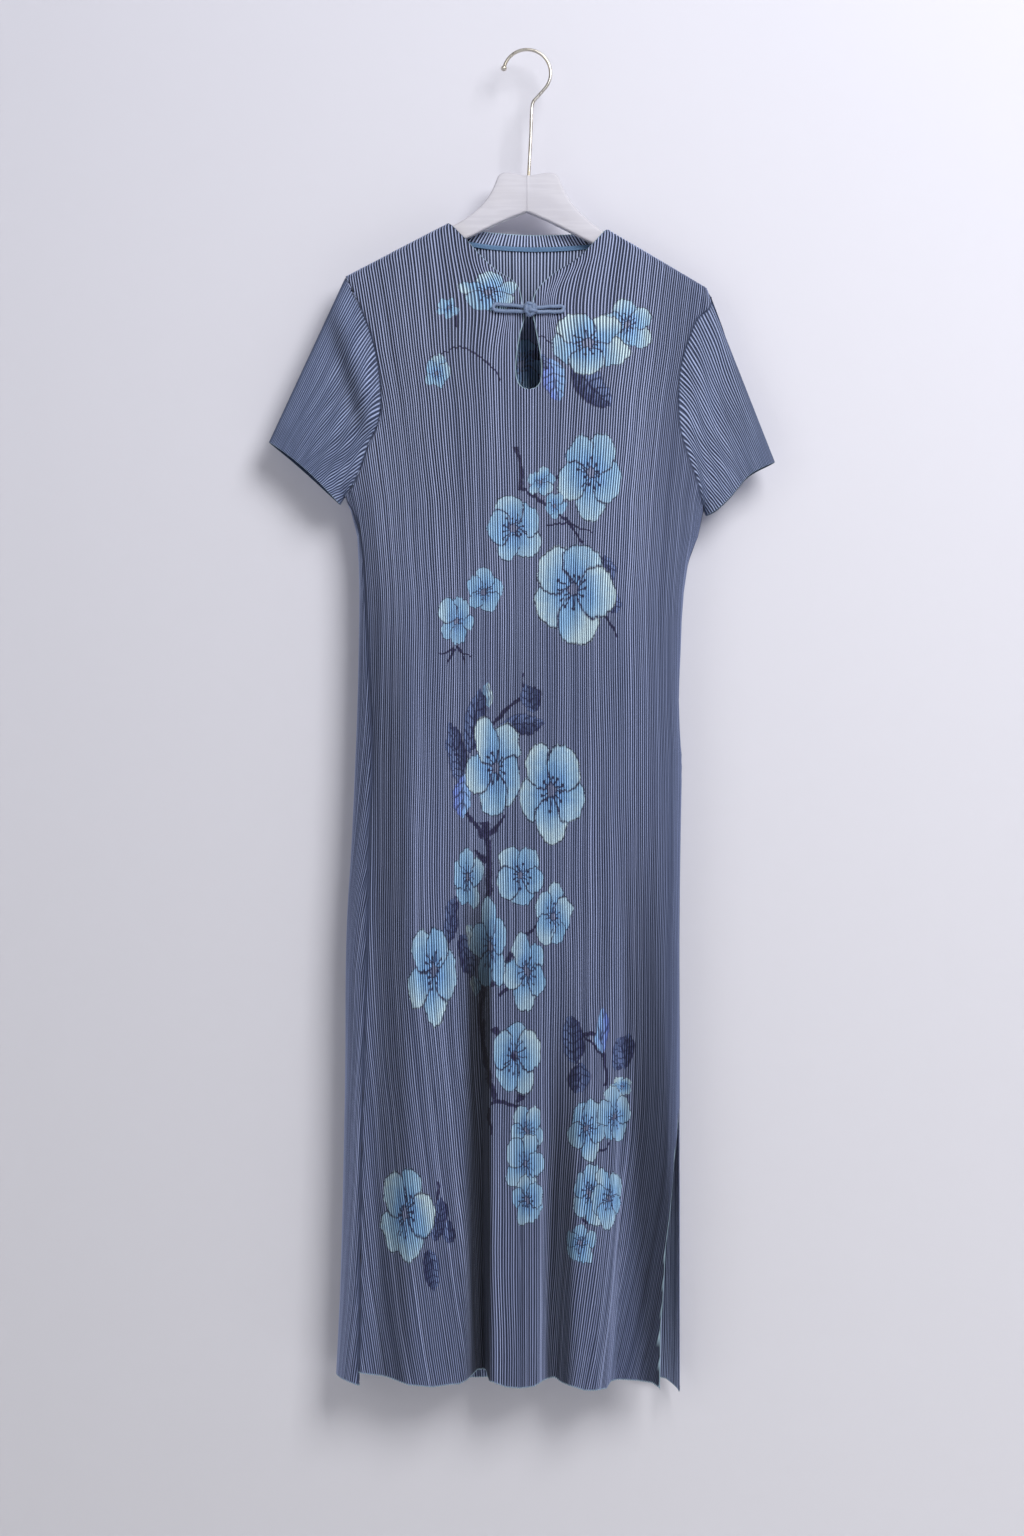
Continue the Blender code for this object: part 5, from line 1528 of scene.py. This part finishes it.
def sleeve_sheet(turn, armhole, cuff, spread, wave, rise, deep, pitches, seed):
    """A sleeve as a tube of points. At share c of the cuff and share t of the way down, the place
    is start + (cuff(c) - start) t, where start = armhole((1 - spread) c + spread smooth(c)). It
    is bent sideways by 4 c(1 - c) wave sin(2 pi t / 0.7) (1 - t)^1.5. c goes from the shoulder
    fold to the underarm in front and back again behind."""

    def place(c, t):
        start, end = through(armhole, (1 - spread) * c + spread * smooth(c)), through(cuff, c)
        way = end - start
        swing = np.sin(2 * np.pi * t / 0.7) * (1 - t) ** 1.5
        bend = 4 * c * (1 - c) * wave * swing
        length = np.linalg.norm(way, axis=-1) + 1e-6
        side = stacked(way[..., 1], -way[..., 0]) / length[..., None] * turn
        return start + way * np.asarray(t)[..., None] + side * bend[..., None]

    c = np.linspace(0, 1, 300)
    x, z = place(c, np.full(c.shape, 0.6)).T
    pitch = pitches[0] + (pitches[1] - pitches[0]) * smooth(c / 0.8)
    sides = []
    for depth in (front_y, back_y):
        step = np.sqrt(np.diff(x) ** 2 + np.diff(z) ** 2 + np.diff(depth(x, z)) ** 2)
        sides.append(np.append(0.0, (step / pitch[1:]).cumsum()))
    underarm = sides[0][-1]
    around = np.append(sides[0], underarm + (sides[1][-1] - sides[1][::-1])[1:])
    number, height, strength, waves, tint = (
        column[:-1] for column in pleat_columns(int(around[-1]), seed)
    )
    at = number / (number[-1] + 0.25) * around[-1]
    in_front = at <= underarm
    behind = np.interp(at, around[len(c) - 1 :], c[::-1])
    c = np.where(in_front, np.interp(at, sides[0], c), behind)
    c, t = np.broadcast_arrays(c, SLEEVE_ROWS[:, None])
    stray = 0.0045 * np.sin(9.0 * t + 17.0 * c + turn) + 0.003 * np.sin(19.0 * t - 41.0 * c)
    stray = stray + 0.0012 * np.sin(t * (5 + 9 * waves[:, 0]) + 6.3 * waves[:, 1])
    flat = place(np.clip(c + stray * c * (1 - c) * 4, 0, 1), t)
    x, z = flat[..., 0], flat[..., 1]
    z = z + rise * np.sin(np.pi * c) * in_front * smooth((t - 0.5) / 0.5)
    span = np.linalg.norm(flat[-1] - flat[0], axis=-1)
    down = np.gradient(flat, axis=0)
    down /= np.linalg.norm(down, axis=-1, keepdims=True) + 1e-9
    over = np.roll(flat, -2, axis=1) - np.roll(flat, 2, axis=1)
    apart = np.abs(over[..., 0] * down[..., 1] - over[..., 1] * down[..., 0])
    room = np.clip(apart / PLEAT_FULL, 0.15, 1.2)
    room = room * np.clip(np.minimum(at, around[-1] - at) / 1.5, 0.25, 1.0)
    relief = deep * room * height * strength * (0.12 + 0.88 * smooth(t * span / SEAM_FADE))
    dip = np.exp(-((t * span / 1.6) ** 2))
    trim = 0.55 * np.clip(1.0 - (1.0 - t) * span / TRIM_WIDE, 0, 1)
    shade = 1.0 - dented(SLEEVE_SHADE, x, z) * np.where(in_front, 1.0, 0.4)
    y = np.where(in_front, front_y(x, z), back_y(x, z))
    faces = grid_faces(*x.shape, round_columns=True)[:, ::-turn]
    return stacked(x, y, z), faces, stacked(x, z, relief, dip, tint, trim, shade)


sleeve_pleats = pleated_polyester("sleeve_pleats", SLEEVE_SLATE, SLEEVE_CREST_LIGHT)
sleeve_inside_shaded = pleated_polyester("sleeve_inside_shaded", SLEEVE_INSIDE_SHADE, SLEEVE_CREST_LIGHT, turned=True)
for side, turn, *shape in SLEEVES:
    points, faces, values = sleeve_sheet(turn, *shape, seed=41 + turn)
    middle = points.reshape(-1, 3).mean(axis=0) * (1, 0, 1)
    sleeve = pleated_cloth(
        f"sleeve_cloth_{side}", points, faces, values,
        lambda points: (points - middle) * (0.2, 1.0, 0.0), sleeve_pleats, "sleeve_pleats",
        f"sleeve_{side}",
    )
    # The inside of each sleeve takes the dark material of painted shade.
    sleeve.data.materials[1] = sleeve_inside_shaded

# ---------------------------------------------------------------- frog fastening
# A frog of narrow bias tube in the dress cloth: on each side of the keyhole the tube is doubled
# back on itself and slip-stitched down, and at the middle it is tied in a round button knot.
CORD, CORD_SIDES = 3.8, 14
KNOT_X, KNOT_Z, KNOT = 3.0, -263.5, 14.4
KNOT_STAND_OFF, CORD_STAND_OFF = 6.4, 3.7
KNOT_ROUNDS, KNOT_BIGHTS, KNOT_RISE, KNOT_TILT = 3, 4, 50, 62  # the last two in degrees
# columns: side, turn, x at the outer end, z there, z at the knot, distance between the two runs
FROG_STRIPS = (("left", -1, -35.5, -260.8, -263.2, 6.4), ("right", 1, 38.2, -262.2, -263.6, 5.4))
# The last colour is painted shade for the folds of the tube's surface.
CORD_BLUE, CORD_LIGHT, CORD_FOLD_SHADE = (0.130, 0.185, 0.310), (0.20, 0.27, 0.41), (0.07, 0.095, 0.19)


def bias_tube():
    """Bias-cut satin tube: slanting threads, with painted shade in the folds of its surface."""
    made, tree, shader = new_material("bias_tube")
    m, ramp = partial(math_node, tree), partial(map_range, tree)
    run, way = run_and_way(tree)
    thread = ramp(m("SINE", m("MULTIPLY_ADD", run, 7.0, m("MULTIPLY", way, 7.0))), -1.0, 1.0)
    cloud = noise(tree, object_place(tree), 330.0, 2.0)
    colour = mix_colour(tree, m("MULTIPLY", thread, 0.35), CORD_BLUE, CORD_LIGHT)
    set_inputs(shader, {
        # Painted shade where the cloud bump makes folds.
        "Base Color": mix_colour(tree, ramp(cloud, 0.5, 0.75, 0.0, 0.5), colour, CORD_FOLD_SHADE),
        "Normal": bump(tree, m("ADD", thread, cloud), 0.35, 0.00025),
        "Roughness": 0.42, "Sheen Weight": 0.2,
    })
    return made


def cord_piece(name, path, closed, *stands_for):
    """A tube with its run along the path and its way round it as a UV map in mm."""
    points, faces = tube(path, CORD / 2, CORD_SIDES, closed)
    made = piece(name, points, faces, cord_blue, "frog_cord", *stands_for)
    run = np.append(0.0, np.linalg.norm(np.diff(path, axis=0), axis=1).cumsum())
    way = np.linspace(0, 2 * np.pi, CORD_SIDES, endpoint=False) * (CORD / 2)
    run_uv(made, np.repeat(run, CORD_SIDES), np.tile(way, len(path)))


cord_blue = bias_tube()
knot_y = float(front_y(table([KNOT_X]), table([KNOT_Z]))[0]) - KNOT_STAND_OFF
for side, turn, end_x, end_z, near_z, apart in FROG_STRIPS:
    near_x = KNOT_X + turn * (KNOT / 2 - 1.0)
    bend_x = end_x - turn * (apart / 2 + CORD / 2)
    run = np.linspace(0, 1, 26)
    bend = np.linspace(np.pi / 2, -np.pi / 2, 13)[1:-1]
    half = apart / 2 * (1 - 0.25 * (1 - run) ** 2)
    x = np.concatenate([
        near_x + (bend_x - near_x) * run, bend_x + turn * apart / 2 * np.cos(bend),
        bend_x + (near_x - bend_x) * run,
    ])
    offset = np.concatenate([half, apart / 2 * np.sin(bend), -half[::-1]])
    mean_z = near_z + (end_z - near_z) * (x - near_x) / (end_x - near_x)
    z = mean_z + offset + 0.15 * np.sin(x / 2.7)
    y = front_y(x, z) - CORD_STAND_OFF
    y = y + (knot_y + 2.0 - y) * smooth(1 - np.abs(x - near_x) / 6.0) * 0.6
    cord_piece(f"frog_loop_{side}", stacked(x, y, z), False, f"frog_strip_{side}")

# The knot: one closed tube woven three times round a ball with four bights, over a core.
turn = np.linspace(0, 2 * np.pi, 420, endpoint=False)
round_way = KNOT_ROUNDS * turn
up_way = np.radians(KNOT_RISE) * np.cos(KNOT_BIGHTS * turn)
reach = KNOT / 2 - CORD / 2 + 0.55 * np.sin(2 * KNOT_BIGHTS * turn)
out = np.cos(up_way)
spun = stacked(out * np.cos(round_way), out * np.sin(round_way), np.sin(up_way))
tilt = np.radians(KNOT_TILT)
lean = table([(1, 0, 0), (0, np.cos(tilt), -np.sin(tilt)), (0, np.sin(tilt), np.cos(tilt))])
knot_at = (KNOT_X, knot_y, KNOT_Z)
knot = (spun * reach[:, None]) @ lean.T * (1.0, 0.8, 1.03) + knot_at
cord_piece("frog_button_knot", knot, True, "frog_knot")
core = ball * (KNOT / 2 - CORD / 2 - 0.4) * (1.0, 0.8, 1.0) + knot_at
core_piece = piece("frog_button_core", core, ball_faces, cord_blue, "frog_cord", "frog_knot")
run_uv(core_piece, core[:, 0], core[:, 2])
